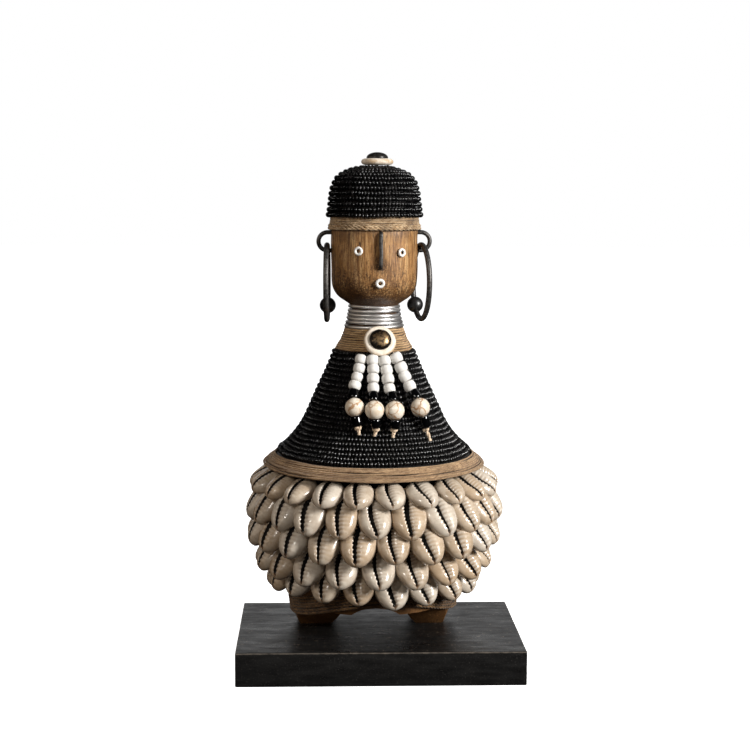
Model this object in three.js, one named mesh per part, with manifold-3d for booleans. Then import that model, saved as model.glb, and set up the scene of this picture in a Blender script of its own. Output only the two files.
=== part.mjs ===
// A namji doll on a painted board: a carved wooden figure dressed in wound strands of beads, jute cord,
// aluminium wire and rows of cowrie shells. Millimetres, +Z up, the board's front faces -Y, and the
// origin is the centre of the board's underside.
import * as THREE from 'three';
import { mergeVertices } from 'three/addons/utils/BufferGeometryUtils.js';
import Module from 'manifold-3d';

const wasm = await Module();
wasm.setup();

// Clearance between two pieces that touch
const gap = 0.3;

// Board, and where the figure stands on it
const plinthWidth = 152;
const plinthDepth = 100;
const plinthThickness = 18;
const figureX = -2.3;
const figureY = 14.9;
const figureTurn = 6.3;

// Heights of the figure's stretches, from the feet up
const legHeight = 13.5;
const skirtHeight = 82;
const robeHeight = 56;
const collarHeight = 12;
const neckHeight = 12.7;
const faceHeight = 40.4;
const bandHeight = 7;
const capHeight = 27.4;

// Outer radii of the dressed figure
const hemRadius = 47.4;
const skirtRadius = 55;
const brimRadius = 61.1;
const robeHemRadius = 53;
const robeTopRadius = 22.9;
const collarRadius = 16.3;
const neckWireRadius = 14.1;
const headRadius = 23.6;
const bandRadius = 25.3;
const capRadius = 26.2;

// Feet, and the arch between them
const footInner = 23.5;
const footOuter = 39;
const footHalfDepth = 9;
const footFlare = 11;
const archTop = 17.5;
// Half of the arch, from its crown down, as shares of its half width and of its height
const archShape = [[0, 1], [0.5, 0.82], [0.75, 0.45], [1, 0]];

// Wound strands and cords: radius of the cord and distance between turns
const beadCordRadius = 1.2;
const robePitch = 2.95;
const capPitch = 2.9;
const bandCordRadius = 0.95;
const bandPitch = 2.4;
const wireRadius = 0.8;
const wirePitch = 2.1;
const collarCordRadius = 0.6;
const collarPitch = 1.85;
const brimCordRadius = 0.7;
const brimPitch = 1.9;
const brimWidth = 7.6;
const brimThickness = 1.1;
const hemCordRadius = 0.8;
const hemPitch = 2.15;
const hemTurns = 4;
const hemLift = 12;
const hemTaper = 1.2;

// Cowrie shells
const cowrieLength = 22.5;
const cowrieWidth = 18;
const cowrieThickness = 6.3;
const carrierRadius = 1;
const onCarrier = 0.68;
// Each row's tips: how far they stand out from the wood as a share of a shell's length, height as a share
// of the skirt's, and the angle of one shell in degrees
const rows = [
  { count: 22, out: 0.5615, up: 0.756, first: 0.8, size: 0.9 },
  { count: 22, out: 0.6127, up: 0.561, first: -7.3, size: 1 },
  { count: 21, out: 0.9274, up: 0.396, first: 1.7, size: 1 },
  { count: 19, out: 0.8513, up: 0.226, first: -6, size: 1 },
  { count: 18, out: 0.5528, up: 0.079, first: 2.6, size: 1 }
];

// Face
const noseWireRadius = 1.05;
const noseLength = 20.6;
const wireInWood = 6;
const eyeRadius = 2.35;
const mouthRadius = 2.5;
const faceBeadBore = 0.9;
const faceBeadThickness = 1.6;
const eyeHeight = 29.6;
const eyeAngle = 28.3;
const mouthHeight = 12.6;

// Ear wires and earrings
const earWireRadius = 1.1;
const earLoopRadius = 4.9;
const earStandOff = 2;
const hoopWireRadius = 1.5;
const hoopHalfWidth = 14;
const hoopHalfHeight = 20.2;
const hoopYaw = 9;
const hoopBeadRadius = 4.45;
const hoopBeadAngle = 222;

// Bone rings and their domed tacks
const ringRadius = 8.7;
const ringBore = 2.4;
const ringThickness = 3.6;
const domeRadius = 5.85;
const domeHeight = 3.1;
const shankRadius = 0.6;
const shankLength = 13;
const crownOffset = 1.4;
const broochShare = 0.376;
const broochSeat = 3.67;

// Bead strands under the brooch
const threadRadius = 0.4;
const beadBore = 0.85;
const whiteRadius = 2.95;
const whiteCount = 4;
const blackRadius = 2.5;
const ballRadius = 5.1;
const knotRadius = 1.5;
const beadGap = 0.65;
// Each strand's route by hand: angle from the front, drop below the robe's top and distance out from the
// robe's cord, at the first and last white bead, the stone ball, the knot and the end of the tail
const strands = [
  {
    first: [-22.5, 2.9, 5.5], last: [-25.6, 16.2, 5.35],
    ball: [-22.9, 26.9, 7], knot: [-19.4, 37.5, 4.07], tail: [-18.6, 40.9, 2.76]
  },
  {
    first: [-9.2, 3.1, 5.51], last: [-8.9, 17.2, 5.4],
    ball: [-7.7, 28, 7.41], knot: [-6.5, 38.1, 3.78], tail: [-7.7, 41.5, 2.49]
  },
  {
    first: [3.4, 3.5, 5.55], last: [6, 17.5, 5.37],
    ball: [7.4, 28.4, 7.42], knot: [6.5, 38.6, 3.75], tail: [5.4, 42.3, 2.58]
  },
  {
    first: [17, 2.2, 5.49], last: [26.3, 16.7, 5.33],
    ball: [29.2, 27.7, 7.34], knot: [32.5, 39.3, 3.91], tail: [33.1, 45.3, 2.66]
  }
];

// Screws that hold the feet to the board
const screwRadius = 1.9;
const screwHeadRadius = 3.7;
const screwHeadDepth = 2.6;
const screwInFoot = 11;
const screwX = 33;

// Heights above the board
const hemLevel = legHeight + skirtHeight;
const robeTop = hemLevel + robeHeight;
const collarTop = robeTop + collarHeight;
const chin = collarTop + neckHeight;
const bandLevel = chin + faceHeight;
const capLevel = bandLevel + bandHeight;
const crownLevel = capLevel + capHeight;

const radians = THREE.MathUtils.degToRad;

// Colour, roughness and metalness of each material
const finish = (color, roughness, metalness = 0) =>
  new THREE.MeshStandardMaterial({ color, roughness, metalness });
const board = finish(0x1b1b1c, 0.55);
const wood = finish(0x8a5f38, 0.6);
const jute = finish(0xa9875a, 0.9);
const blackGlass = finish(0x0b0b0d, 0.15);
const aluminium = finish(0xb9bcc0, 0.25, 1);
const iron = finish(0x3a3836, 0.5, 0.8);
const bone = finish(0xe9dcc3, 0.45);
const antiqueBrass = finish(0x5d4a2c, 0.35, 1);
const blackMetal = finish(0x1d1c1c, 0.3, 0.7);
const whiteGlass = finish(0xf1efe9, 0.5);
const stone = finish(0xe6d6b6, 0.45);
const thread = finish(0xc9b187, 0.9);
const shell = finish(0xe4d7c2, 0.25);
const steel = finish(0x9a9a98, 0.4, 1);

// A geometry as one closed mesh: shared vertices merged and flat triangles dropped
function closed(geometry) {
  const bare = new THREE.BufferGeometry().setAttribute('position', geometry.getAttribute('position'));
  bare.setIndex(geometry.getIndex());
  const merged = mergeVertices(bare, 1e-4);
  const kept = [];
  const index = merged.getIndex().array;
  for (let i = 0; i < index.length; i += 3) {
    const [a, b, c] = [index[i], index[i + 1], index[i + 2]];
    if (a !== b && b !== c && c !== a) kept.push(a, b, c);
  }
  merged.setIndex(kept);
  return merged;
}

function solidOf(geometry) {
  const mesh = closed(geometry);
  return new wasm.Manifold(new wasm.Mesh({
    numProp: 3,
    vertProperties: new Float32Array(mesh.getAttribute('position').array),
    triVerts: new Uint32Array(mesh.getIndex().array)
  }));
}

function geometryOf(solid) {
  const mesh = solid.getMesh();
  const geometry = new THREE.BufferGeometry();
  geometry.setAttribute('position', new THREE.BufferAttribute(mesh.vertProperties, 3));
  geometry.setIndex(new THREE.BufferAttribute(mesh.triVerts, 1));
  return geometry;
}

// A body of revolution about +Z from [radius, height] points that run upwards on the outside
function turned(points, sides) {
  const profile = points.map(([radius, height]) => new THREE.Vector2(radius, height));
  return new THREE.LatheGeometry(profile, sides).rotateX(Math.PI / 2);
}

// Points of a closed tube: a ring of vertices round each centre, and a flat cap at each end
function tube(centres, normals, radius, sides) {
  const positions = [];
  const index = [];
  const last = centres.length - 1;
  centres.forEach((centre, i) => {
    const ahead = centres[Math.min(i + 1, last)];
    const behind = centres[Math.max(i - 1, 0)];
    const tangent = ahead.clone().sub(behind).normalize();
    const across = tangent.clone().cross(normals[i]).normalize();
    const out = across.clone().cross(tangent);
    for (let k = 0; k < sides; k++) {
      const angle = (2 * Math.PI * k) / sides;
      const point = centre.clone()
        .addScaledVector(out, radius * Math.cos(angle))
        .addScaledVector(across, radius * Math.sin(angle));
      positions.push(point.x, point.y, point.z);
    }
  });
  for (let i = 0; i < last; i++) {
    for (let k = 0; k < sides; k++) {
      const next = (k + 1) % sides;
      const [a, b] = [i * sides + k, i * sides + next];
      const [c, d] = [b + sides, a + sides];
      index.push(a, b, c, a, c, d);
    }
  }
  for (let k = 1; k < sides - 1; k++) {
    index.push(0, k + 1, k);
    index.push(last * sides, last * sides + k, last * sides + k + 1);
  }
  const geometry = new THREE.BufferGeometry();
  geometry.setAttribute('position', new THREE.Float32BufferAttribute(positions, 3));
  geometry.setIndex(index);
  return geometry;
}

// The smooth outline of a body of revolution, run upwards, with points at even lengths along it
class Outline {
  constructor(points) {
    this.curve = new THREE.SplineCurve(points.map(([radius, height]) => new THREE.Vector2(radius, height)));
    this.length = this.curve.getLength();
  }
  at(share) {
    return this.curve.getPointAt(THREE.MathUtils.clamp(share, 0, 1));
  }
  normal(share) {
    const along = this.curve.getTangentAt(THREE.MathUtils.clamp(share, 0, 1));
    return new THREE.Vector2(along.y, -along.x);
  }
  // Points of the outline moved inwards by a depth
  inset(depth, count, from = 0, to = 1) {
    return Array.from({ length: count }, (_, i) => {
      const share = from + ((to - from) * i) / (count - 1);
      const point = this.at(share).addScaledVector(this.normal(share), -depth);
      return [point.x, point.y];
    });
  }
}

// The radius of a straight-sided outline at a height
function radiusOf(points, height) {
  const above = points.findIndex(([, level]) => level > height);
  if (above < 1) return points[above < 0 ? points.length - 1 : 0][0];
  const [[lowRadius, low], [highRadius, high]] = [points[above - 1], points[above]];
  return lowRadius + ((highRadius - lowRadius) * (height - low)) / (high - low);
}

// A point at a radius, a height and an angle from the figure's front, positive towards +X
function around(radius, height, angle) {
  return new THREE.Vector3(radius * Math.sin(angle), -radius * Math.cos(angle), height);
}

// One unbroken cord wound upwards on an outline. Both ends run straight for more than a cord diameter.
// lift raises a turn by its angle. The least gap between turns is measured and printed.
function wound(name, outline, { radius, pitch, steps, sides, start = 0, lift = () => 0 }) {
  const turns = Math.round(outline.length / pitch);
  const count = turns * steps;
  const centres = [];
  const normals = [];
  for (let i = 0; i <= count; i++) {
    const share = i / count;
    const angle = start + (2 * Math.PI * i) / steps;
    const point = outline.at(share);
    const normal = outline.normal(share);
    centres.push(around(point.x, point.y + lift(angle), angle));
    normals.push(around(normal.x, normal.y, angle));
  }
  let least = Infinity;
  const stretch = new THREE.Line3();
  const nearest = new THREE.Vector3();
  for (let i = 0; i < centres.length; i++) {
    for (let j = i + Math.floor(steps / 2); j < centres.length - 1; j++) {
      stretch.set(centres[j], centres[j + 1]).closestPointToPoint(centres[i], true, nearest);
      least = Math.min(least, nearest.distanceTo(centres[i]));
    }
  }
  console.log(`${name}: ${turns} turns, least gap to itself ${(least - 2 * radius).toFixed(2)} mm`);
  return tube(centres, normals, radius, sides);
}

// How far a chord of a wound turn lies inside its circle
const sag = (radius, steps) => radius * (1 - Math.cos(Math.PI / steps));

const doll = new THREE.Group();
const figure = new THREE.Group();
figure.position.set(figureX, figureY, plinthThickness);
figure.rotation.z = radians(figureTurn);
doll.add(figure);

function add(parent, name, geometry, material) {
  const mesh = new THREE.Mesh(geometry, material);
  mesh.name = name;
  parent.add(mesh);
  return mesh;
}

// Centre lines of the wound strands and cords, each run upwards
const robeSteps = 13;
const robeFall = robeHeight - 2 * beadCordRadius;
const robeSpread = robeHemRadius - robeTopRadius;
const robeFlare = [[1, 1], [0.895, 0.805], [0.735, 0.585], [0.5, 0.385], [0.19, 0.14], [0, 0]];
const robeShape = robeFlare.map(([down, out]) => [
  robeTopRadius - beadCordRadius + out * robeSpread,
  robeTop - beadCordRadius - down * robeFall
]);
const robeLine = new Outline(robeShape);

const capSteps = 12;
const capInset = capRadius - beadCordRadius;
const capBottom = capLevel + beadCordRadius + gap;
const capRise = crownLevel - beadCordRadius - capBottom;
const capDome = [
  [1, 0], [0.965, 0.26], [0.935, 0.48], [0.875, 0.68], [0.765, 0.83], [0.6, 0.925], [0.4, 0.985], [0.3, 1]
];
const capLine = new Outline(capDome.map(([out, up]) => [out * capInset, capBottom + up * capRise]));

const bandSteps = 14;
const bandInset = bandRadius - bandCordRadius;
const bandLine = new Outline([
  [bandInset, bandLevel + bandCordRadius],
  [bandInset - 0.5, bandLevel + bandHeight / 2],
  [bandInset - 1.1, capLevel - bandCordRadius]
]);

const neckSteps = 12;
const neckLine = new Outline([
  [collarRadius - wireRadius, collarTop + gap + wireRadius],
  [(collarRadius + neckWireRadius) / 2 - wireRadius - 0.3, collarTop + neckHeight / 2],
  [neckWireRadius - wireRadius, chin - wireRadius - gap]
]);

const collarSteps = 11;
const collarBottomRadius = robeTopRadius - 1.6 - collarCordRadius;
const collarLine = new Outline([
  [collarBottomRadius, robeTop + collarCordRadius + gap],
  [(collarBottomRadius + collarRadius - collarCordRadius) / 2 - 0.3, robeTop + collarHeight * 0.48],
  [collarRadius - collarCordRadius, collarTop - collarCordRadius]
]);

const brimSteps = 18;
const brimSlope = radians(38);
const brimDrop = brimWidth * Math.sin(brimSlope);
const brimOuter = new THREE.Vector2(brimRadius - brimCordRadius, hemLevel - gap - brimDrop - brimCordRadius);
const brimInner = new THREE.Vector2(-Math.cos(brimSlope), Math.sin(brimSlope));
brimInner.multiplyScalar(brimWidth).add(brimOuter);
const brimLine = new Outline([brimOuter.toArray(), brimInner.toArray()]);

const hemSteps = 14;
const hemBottom = legHeight / 2 + gap + hemCordRadius;
const hemLine = new Outline([
  [hemRadius - hemTaper - hemCordRadius, hemBottom],
  [hemRadius - hemCordRadius, hemBottom + hemTurns * hemPitch + 0.01]
]);

// The wood under the skirt, from the hem up to the brim
const hemCore = hemRadius - hemTaper - 2 * hemCordRadius - gap - sag(hemRadius, hemSteps);
const skirtBulge = skirtRadius - hemCore;
const skirtLower = [[0, 0.08], [0.06, 0.32], [0.3, 0.41], [0.63, 0.48], [0.94, 0.59], [1, 0.7]];
const skirtUpper = [[0.985, 0.81], [0.9265, 0.857], [0.881, 0.89], [0.8725, 0.94]];
const skirtWood = [
  ...skirtLower.map(([out, up]) => [hemCore + out * skirtBulge, legHeight + up * skirtHeight]),
  ...skirtUpper.map(([share, up]) => [share * skirtRadius, legHeight + up * skirtHeight])
];

// The wood of the whole figure, from the soles up
const sides = 22;
const brimDepth = brimCordRadius + gap + sag(brimRadius, brimSteps);
const robeDepth = beadCordRadius + gap + sag(robeHemRadius, robeSteps);
const collarDepth = collarCordRadius + gap + sag(collarBottomRadius, collarSteps);
const neckDepth = wireRadius + 3 * gap + sag(collarRadius, neckSteps);
const bandDepth = bandCordRadius + gap + sag(bandRadius, bandSteps);
const capDepth = beadCordRadius + gap + sag(capRadius, capSteps);
const faceShape = [
  [0.58, 0], [0.68, 0.05], [0.8, 0.11], [0.893, 0.165], [0.95, 0.25], [0.98, 0.36], [1, 0.6], [1, 0.985]
];
const jaw = faceShape.map(([out, up]) => [out * headRadius, chin + up * faceHeight]);
const neckWood = neckLine.inset(neckDepth, 2);
const coreOutline = [
  [0, 0],
  [footOuter, 0],
  [hemCore - 0.5, hemBottom],
  ...skirtWood,
  ...brimLine.inset(brimDepth + brimThickness, 2).reverse(),
  ...brimLine.inset(brimDepth, 2),
  ...robeLine.inset(robeDepth, 7, 0.04, 0.98),
  ...collarLine.inset(collarDepth, 3),
  ...neckWood,
  [neckWood[1][0], chin],
  ...jaw,
  ...bandLine.inset(bandDepth, 2),
  ...capLine.inset(capDepth, 5, 0.05, 0.97),
  [0, crownLevel - beadCordRadius - capDepth]
];
let figureSolid = solidOf(turned(coreOutline, sides));

// A prism from an outline in the plane of two axes, centred along the third
function prism(points, length, face) {
  const outline = new THREE.Shape(points.map(([x, y]) => new THREE.Vector2(x, y)));
  const solid = new THREE.ExtrudeGeometry(outline, { depth: length, bevelEnabled: false, curveSegments: 6 });
  solid.translate(0, 0, -length / 2).rotateX(Math.PI / 2);
  return face === 'side' ? solid.rotateZ(Math.PI / 2) : solid;
}

// The arch through the lower end from front to back, and the undercut in front of and behind the feet,
// both square to the board
const through = 4 * brimRadius;
const archSide = archShape.map(([out, up]) => [footInner * out, archTop * up]);
const archOutline = [
  [footInner, -1],
  ...[...archSide].reverse(),
  ...archSide.slice(1).map(([x, z]) => [-x, z]),
  [-footInner, -1]
];
const square = -radians(figureTurn);
figureSolid = figureSolid.subtract(solidOf(prism(archOutline, through, 'front').rotateZ(square)));
const undercut = [
  [footHalfDepth, -1],
  [brimRadius, -1],
  [brimRadius, legHeight],
  [footHalfDepth + footFlare, legHeight],
  [footHalfDepth, 0]
];
figureSolid = figureSolid.subtract(solidOf(prism(undercut, through, 'side').rotateZ(square)));
figureSolid = figureSolid.subtract(solidOf(prism(undercut, through, 'side').rotateZ(Math.PI + square)));

// A round hole from a point along a direction
function hole(radius, from, direction, length, count = 8) {
  const drill = solidOf(turned([[0, 0], [radius, 0], [radius, length], [0, length]], count));
  const turn = new THREE.Quaternion();
  turn.setFromUnitVectors(new THREE.Vector3(0, 0, 1), direction.clone().normalize());
  const place = new THREE.Matrix4().compose(from, turn, new THREE.Vector3(1, 1, 1));
  return drill.transform(place.elements);
}

// Nose bar: a staple with both ends in the wood
const noseTop = bandLevel - gap - noseWireRadius;
const noseBottom = noseTop - noseLength + 2 * noseWireRadius;
const noseOut = headRadius + gap + noseWireRadius;
const staple = new THREE.CurvePath();
const noseBend = 1.5 * noseWireRadius;
const noseInner = headRadius - wireInWood;
const stapleTop = [around(noseInner, noseTop, 0), around(noseOut - noseBend, noseTop, 0)];
const stapleBar = [around(noseOut, noseTop - noseBend, 0), around(noseOut, noseBottom + noseBend, 0)];
const stapleEnd = [around(noseOut - noseBend, noseBottom, 0), around(noseInner, noseBottom, 0)];
staple.add(new THREE.LineCurve3(...stapleTop));
staple.add(new THREE.QuadraticBezierCurve3(stapleTop[1], around(noseOut, noseTop, 0), stapleBar[0]));
staple.add(new THREE.LineCurve3(...stapleBar));
staple.add(new THREE.QuadraticBezierCurve3(stapleBar[1], around(noseOut, noseBottom, 0), stapleEnd[0]));
staple.add(new THREE.LineCurve3(...stapleEnd));
const noseSpots = staple.curves.flatMap((curve) => curve.getPoints(curve.isLineCurve3 ? 1 : 3).slice(0, -1));
noseSpots.push(stapleEnd[1]);
const toSide = noseSpots.map(() => new THREE.Vector3(1, 0, 0));
add(figure, 'nose_bar', tube(noseSpots, toSide, noseWireRadius, 8), iron);
const inward = new THREE.Vector3(0, 1, 0);
for (const height of [noseTop, noseBottom]) {
  const from = around(headRadius + 1, height, 0);
  figureSolid = figureSolid.subtract(hole(noseWireRadius + gap, from, inward, wireInWood + 1 + gap));
}

// A round piece with a bore, from [radius, height] points of its outside
function ringed(outside, bore, count) {
  const [bottom, top] = [outside[0][1], outside[outside.length - 1][1]];
  return turned([[bore, bottom], ...outside, [bore, top], [bore, bottom]], count);
}

// White ring beads as eyes and mouth, each seated on the face
function faceBead(name, radius, height, angle, dip) {
  const half = faceBeadThickness / 2;
  const round = [[radius * 0.72, -half], [radius, -half * 0.35], [radius, half * 0.35], [radius * 0.72, half]];
  const bead = add(figure, name, ringed(round, faceBeadBore, 9), whiteGlass);
  const seat = radiusOf(jaw, height) + gap + half + radius * 0.04;
  bead.position.copy(around(seat, height, radians(angle)));
  bead.quaternion.setFromUnitVectors(
    new THREE.Vector3(0, 0, 1),
    around(Math.cos(radians(dip)), -Math.sin(radians(dip)), radians(angle))
  );
}

faceBead('eye_bead_left', eyeRadius, chin + eyeHeight, -eyeAngle, 0);
faceBead('eye_bead_right', eyeRadius, chin + eyeHeight - 0.8, eyeAngle, 0);
faceBead('mouth_bead', mouthRadius, chin + mouthHeight, -0.8, 8);

// Ear wires, and a long hoop hung in each
const earX = headRadius + earStandOff;
const earZ = bandLevel - gap - earWireRadius - earLoopRadius;
const hoopX = earX + 0.3;
const hoopPivotZ = earZ - earLoopRadius;
const hoopTopZ = hoopPivotZ + earWireRadius + gap + hoopWireRadius;
const hoopCentreZ = hoopTopZ - hoopHalfHeight;

function earWire(side) {
  const spots = [new THREE.Vector3(side * (headRadius - wireInWood), 0, earZ + earLoopRadius)];
  const loopSteps = 9;
  for (let i = 0; i <= loopSteps; i++) {
    const angle = Math.PI / 2 - (Math.PI * i) / loopSteps;
    const out = earX + earLoopRadius * Math.cos(angle);
    spots.push(new THREE.Vector3(side * out, 0, earZ + earLoopRadius * Math.sin(angle)));
  }
  spots.push(new THREE.Vector3(side * (headRadius - wireInWood), 0, earZ - earLoopRadius));
  return tube(spots, spots.map(() => new THREE.Vector3(0, 1, 0)), earWireRadius, 6);
}

// The hoop is an ellipse whose two ends meet inside its bead. In the hoop's own frame u points forwards.
function hoopPoint(angle) {
  return new THREE.Vector3(0, -hoopHalfWidth * Math.cos(angle), hoopHalfHeight * Math.sin(angle));
}

const beadSpan = hoopBeadRadius / Math.hypot(
  hoopHalfWidth * Math.sin(radians(hoopBeadAngle)),
  hoopHalfHeight * Math.cos(radians(hoopBeadAngle))
);

function hoopAndBead(side, label) {
  const frame = new THREE.Group();
  frame.position.set(side * hoopX, 0, hoopCentreZ);
  frame.rotation.z = radians(side * hoopYaw);
  figure.add(frame);
  const middle = radians(hoopBeadAngle);
  const hoopSteps = 18;
  const [from, to] = [middle + beadSpan, middle + 2 * Math.PI - beadSpan];
  const spots = [];
  for (let i = 0; i <= hoopSteps; i++) spots.push(hoopPoint(from + ((to - from) * i) / hoopSteps));
  const [first, end] = [spots[0].clone(), spots[hoopSteps].clone()];
  const beadCentre = first.clone().add(end).multiplyScalar(0.5);
  const axis = first.clone().sub(end).normalize();
  spots.unshift(beadCentre.clone().addScaledVector(axis, gap));
  spots.push(beadCentre.clone().addScaledVector(axis, -gap));
  const across = spots.map(() => new THREE.Vector3(1, 0, 0));
  add(frame, `earring_${label}`, tube(spots, across, hoopWireRadius, 6), iron);
  const bore = hoopWireRadius + gap;
  const half = Math.sqrt(hoopBeadRadius ** 2 - (bore + 0.3) ** 2);
  const round = Array.from({ length: 5 }, (_, i) => {
    const height = -half + (half * i) / 2;
    return [Math.sqrt(hoopBeadRadius ** 2 - height ** 2), height];
  });
  const bead = add(frame, `earring_bead_${label}`, ringed(round, bore, 9), blackGlass);
  bead.position.copy(beadCentre);
  bead.quaternion.setFromUnitVectors(new THREE.Vector3(0, 0, 1), axis);
}

for (const [side, label] of [[-1, 'left'], [1, 'right']]) {
  add(figure, `ear_wire_${label}`, earWire(side), iron);
  hoopAndBead(side, label);
  for (const height of [earZ + earLoopRadius, earZ - earLoopRadius]) {
    const from = new THREE.Vector3(side * (headRadius + 1), 0, height);
    const direction = new THREE.Vector3(-side, 0, 0);
    figureSolid = figureSolid.subtract(hole(earWireRadius + gap, from, direction, wireInWood + 1 + gap));
  }
}

// Bone ring with rounded edges, and a domed tack whose shank runs through it into the wood
function boneRing() {
  const half = ringThickness / 2;
  const middle = (ringRadius + ringBore) / 2;
  const width = (ringRadius - ringBore) / 2;
  const round = Array.from({ length: 5 }, (_, i) => {
    const angle = -Math.PI / 2 + (Math.PI * i) / 4;
    return [middle + width * Math.cos(angle), half * Math.sin(angle)];
  });
  return ringed(round, ringBore, 16);
}

function domedTack() {
  const seat = ringThickness / 2 + gap;
  const dome = Array.from({ length: 5 }, (_, i) => {
    const angle = (Math.PI / 2) * (i / 4);
    return [domeRadius * Math.cos(angle), seat + domeHeight * Math.sin(angle)];
  });
  return turned([[0, -shankLength], [shankRadius, -shankLength + 2], [shankRadius, seat], ...dome], 12);
}

function ringAndTack(label, centre, axis, tackMaterial) {
  const turn = new THREE.Quaternion().setFromUnitVectors(new THREE.Vector3(0, 0, 1), axis);
  for (const [name, geometry, material] of [
    [`${label}_ring`, boneRing(), bone],
    [`${label}_tack`, domedTack(), tackMaterial]
  ]) {
    const piece = add(figure, name, geometry, material);
    piece.position.copy(centre);
    piece.quaternion.copy(turn);
  }
  const into = axis.clone().negate();
  return hole(shankRadius + gap, centre, into, shankLength + gap);
}

const crownCentre = new THREE.Vector3(crownOffset, 0, crownLevel + gap + ringThickness / 2);
figureSolid = figureSolid.subtract(ringAndTack('crown', crownCentre, new THREE.Vector3(0, 0, 1), blackMetal));

const broochNormal = collarLine.normal(broochShare);
const broochSpot = collarLine.at(broochShare).addScaledVector(broochNormal, broochSeat);
const broochCentre = around(broochSpot.x, broochSpot.y, 0);
const broochAxis = around(broochNormal.x, broochNormal.y, 0);
const broochHole = ringAndTack('brooch', broochCentre, broochAxis, antiqueBrass);
figureSolid = figureSolid.subtract(broochHole);

// Wound strands and cords
const cutForShank = (geometry) => geometryOf(solidOf(geometry).subtract(broochHole));
const collarStart = 0.58 * Math.PI;
add(figure, 'robe_beads', wound('robe_beads', robeLine,
  { radius: beadCordRadius, pitch: robePitch, steps: robeSteps, sides: 4, start: Math.PI }), blackGlass);
add(figure, 'cap_beads', wound('cap_beads', capLine,
  { radius: beadCordRadius, pitch: capPitch, steps: capSteps, sides: 4, start: Math.PI }), blackGlass);
add(figure, 'headband_cord', wound('headband_cord', bandLine,
  { radius: bandCordRadius, pitch: bandPitch, steps: bandSteps, sides: 4, start: Math.PI }), jute);
add(figure, 'neck_wire', wound('neck_wire', neckLine,
  { radius: wireRadius, pitch: wirePitch, steps: neckSteps, sides: 5, start: Math.PI }), aluminium);
add(figure, 'collar_cord', cutForShank(wound('collar_cord', collarLine,
  { radius: collarCordRadius, pitch: collarPitch, steps: collarSteps, sides: 4, start: collarStart })), jute);
add(figure, 'brim_cord', wound('brim_cord', brimLine,
  { radius: brimCordRadius, pitch: brimPitch, steps: brimSteps, sides: 4, start: Math.PI }), jute);
add(figure, 'hem_cord', wound('hem_cord', hemLine, {
  radius: hemCordRadius, pitch: hemPitch, steps: hemSteps, sides: 4, start: Math.PI / 2,
  lift: (angle) => hemLift * Math.cos(angle) ** 2
}), jute);

// A cowrie cut flat at the back: x is its width, y points out of the dome, z from tip to top.
// Three cross-sections of five points, with the slit as a groove along the dome.
function cowrie(size) {
  const section = [[-1, 0], [-0.45, 1], [0.12, 0.68], [0.62, 0.8], [1, 0]];
  const stations = [[-0.62, 0.74], [0.02, 1], [0.66, 0.78]];
  const half = (size * cowrieLength) / 2;
  const positions = [0, 0, -half];
  for (const [along, width] of stations) {
    for (const [x, y] of section) {
      positions.push((x * width * size * cowrieWidth) / 2, y * width * size * cowrieThickness, along * half);
    }
  }
  positions.push(0, 0, half);
  const index = [];
  const count = section.length;
  const end = 1 + count * stations.length;
  for (let k = 0; k < count; k++) {
    const next = (k + 1) % count;
    index.push(0, 1 + k, 1 + next);
    for (let ring = 0; ring < stations.length - 1; ring++) {
      const [a, b] = [1 + ring * count + k, 1 + ring * count + next];
      index.push(a, a + count, b + count, a, b + count, b);
    }
    index.push(end, end - count + next, end - count + k);
  }
  const geometry = new THREE.BufferGeometry();
  geometry.setAttribute('position', new THREE.Float32BufferAttribute(positions, 3));
  geometry.setIndex(index);
  return geometry;
}

// The lean that lets a shell with its tip at a given place touch the wood with its top
function leanOnWood([tipRadius, tipHeight], length) {
  let [low, high] = [0, Math.PI / 2];
  for (let i = 0; i < 30; i++) {
    const lean = (low + high) / 2;
    const wood = radiusOf(skirtWood, tipHeight + length * Math.cos(lean));
    if (tipRadius - length * Math.sin(lean) > wood + 2 * gap) low = lean;
    else high = lean;
  }
  return low;
}

// One row of cowries on its carrier cord. The tops lie on the wood and the tips stand out.
function cowrieRow({ count, out, up, first, size }) {
  const half = (size * cowrieLength) / 2;
  const level = legHeight + up * skirtHeight;
  const end = [radiusOf(skirtWood, level) + out * cowrieLength, level];
  const lean = leanOnWood(end, 2 * half);
  const centre = [end[0] - half * Math.sin(lean), end[1] + half * Math.cos(lean)];
  const carrierR = centre[0] - onCarrier * half * Math.sin(lean) - 0.4 * carrierRadius * Math.cos(lean);
  const carrierZ = centre[1] + onCarrier * half * Math.cos(lean) - 0.4 * carrierRadius * Math.sin(lean);
  const round = Array.from({ length: 4 }, (_, i) => {
    const angle = (2 * Math.PI * i) / 3 - Math.PI / 2;
    return [carrierR + carrierRadius * Math.cos(angle), carrierZ + carrierRadius * Math.sin(angle)];
  });
  let row = solidOf(turned(round, count).rotateZ(radians(first)));
  const shape = solidOf(cowrie(size));
  for (let i = 0; i < count; i++) {
    const angle = radians(first) + (2 * Math.PI * i) / count;
    const place = new THREE.Object3D();
    place.position.copy(around(centre[0], centre[1], angle));
    place.rotation.order = 'ZXY';
    place.rotation.set(lean, 0, angle + Math.PI);
    place.updateMatrix();
    row = row.add(shape.transform(place.matrix.elements));
  }
  return geometryOf(row);
}

rows.forEach((row, i) => add(figure, `cowrie_row_${i + 1}`, cowrieRow(row), shell));

// Beads strung on a straight stretch: a barrel for each, in one body with a bore along it
function barrels(radius, length, count, end = 0.72) {
  const outside = [[radius * end, 0]];
  for (let i = 0; i < count; i++) {
    outside.push([radius, (i + 0.25) * length], [radius, (i + 0.75) * length]);
    outside.push([radius * end, (i + 1) * length]);
  }
  return ringed(outside, beadBore, 8);
}

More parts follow.
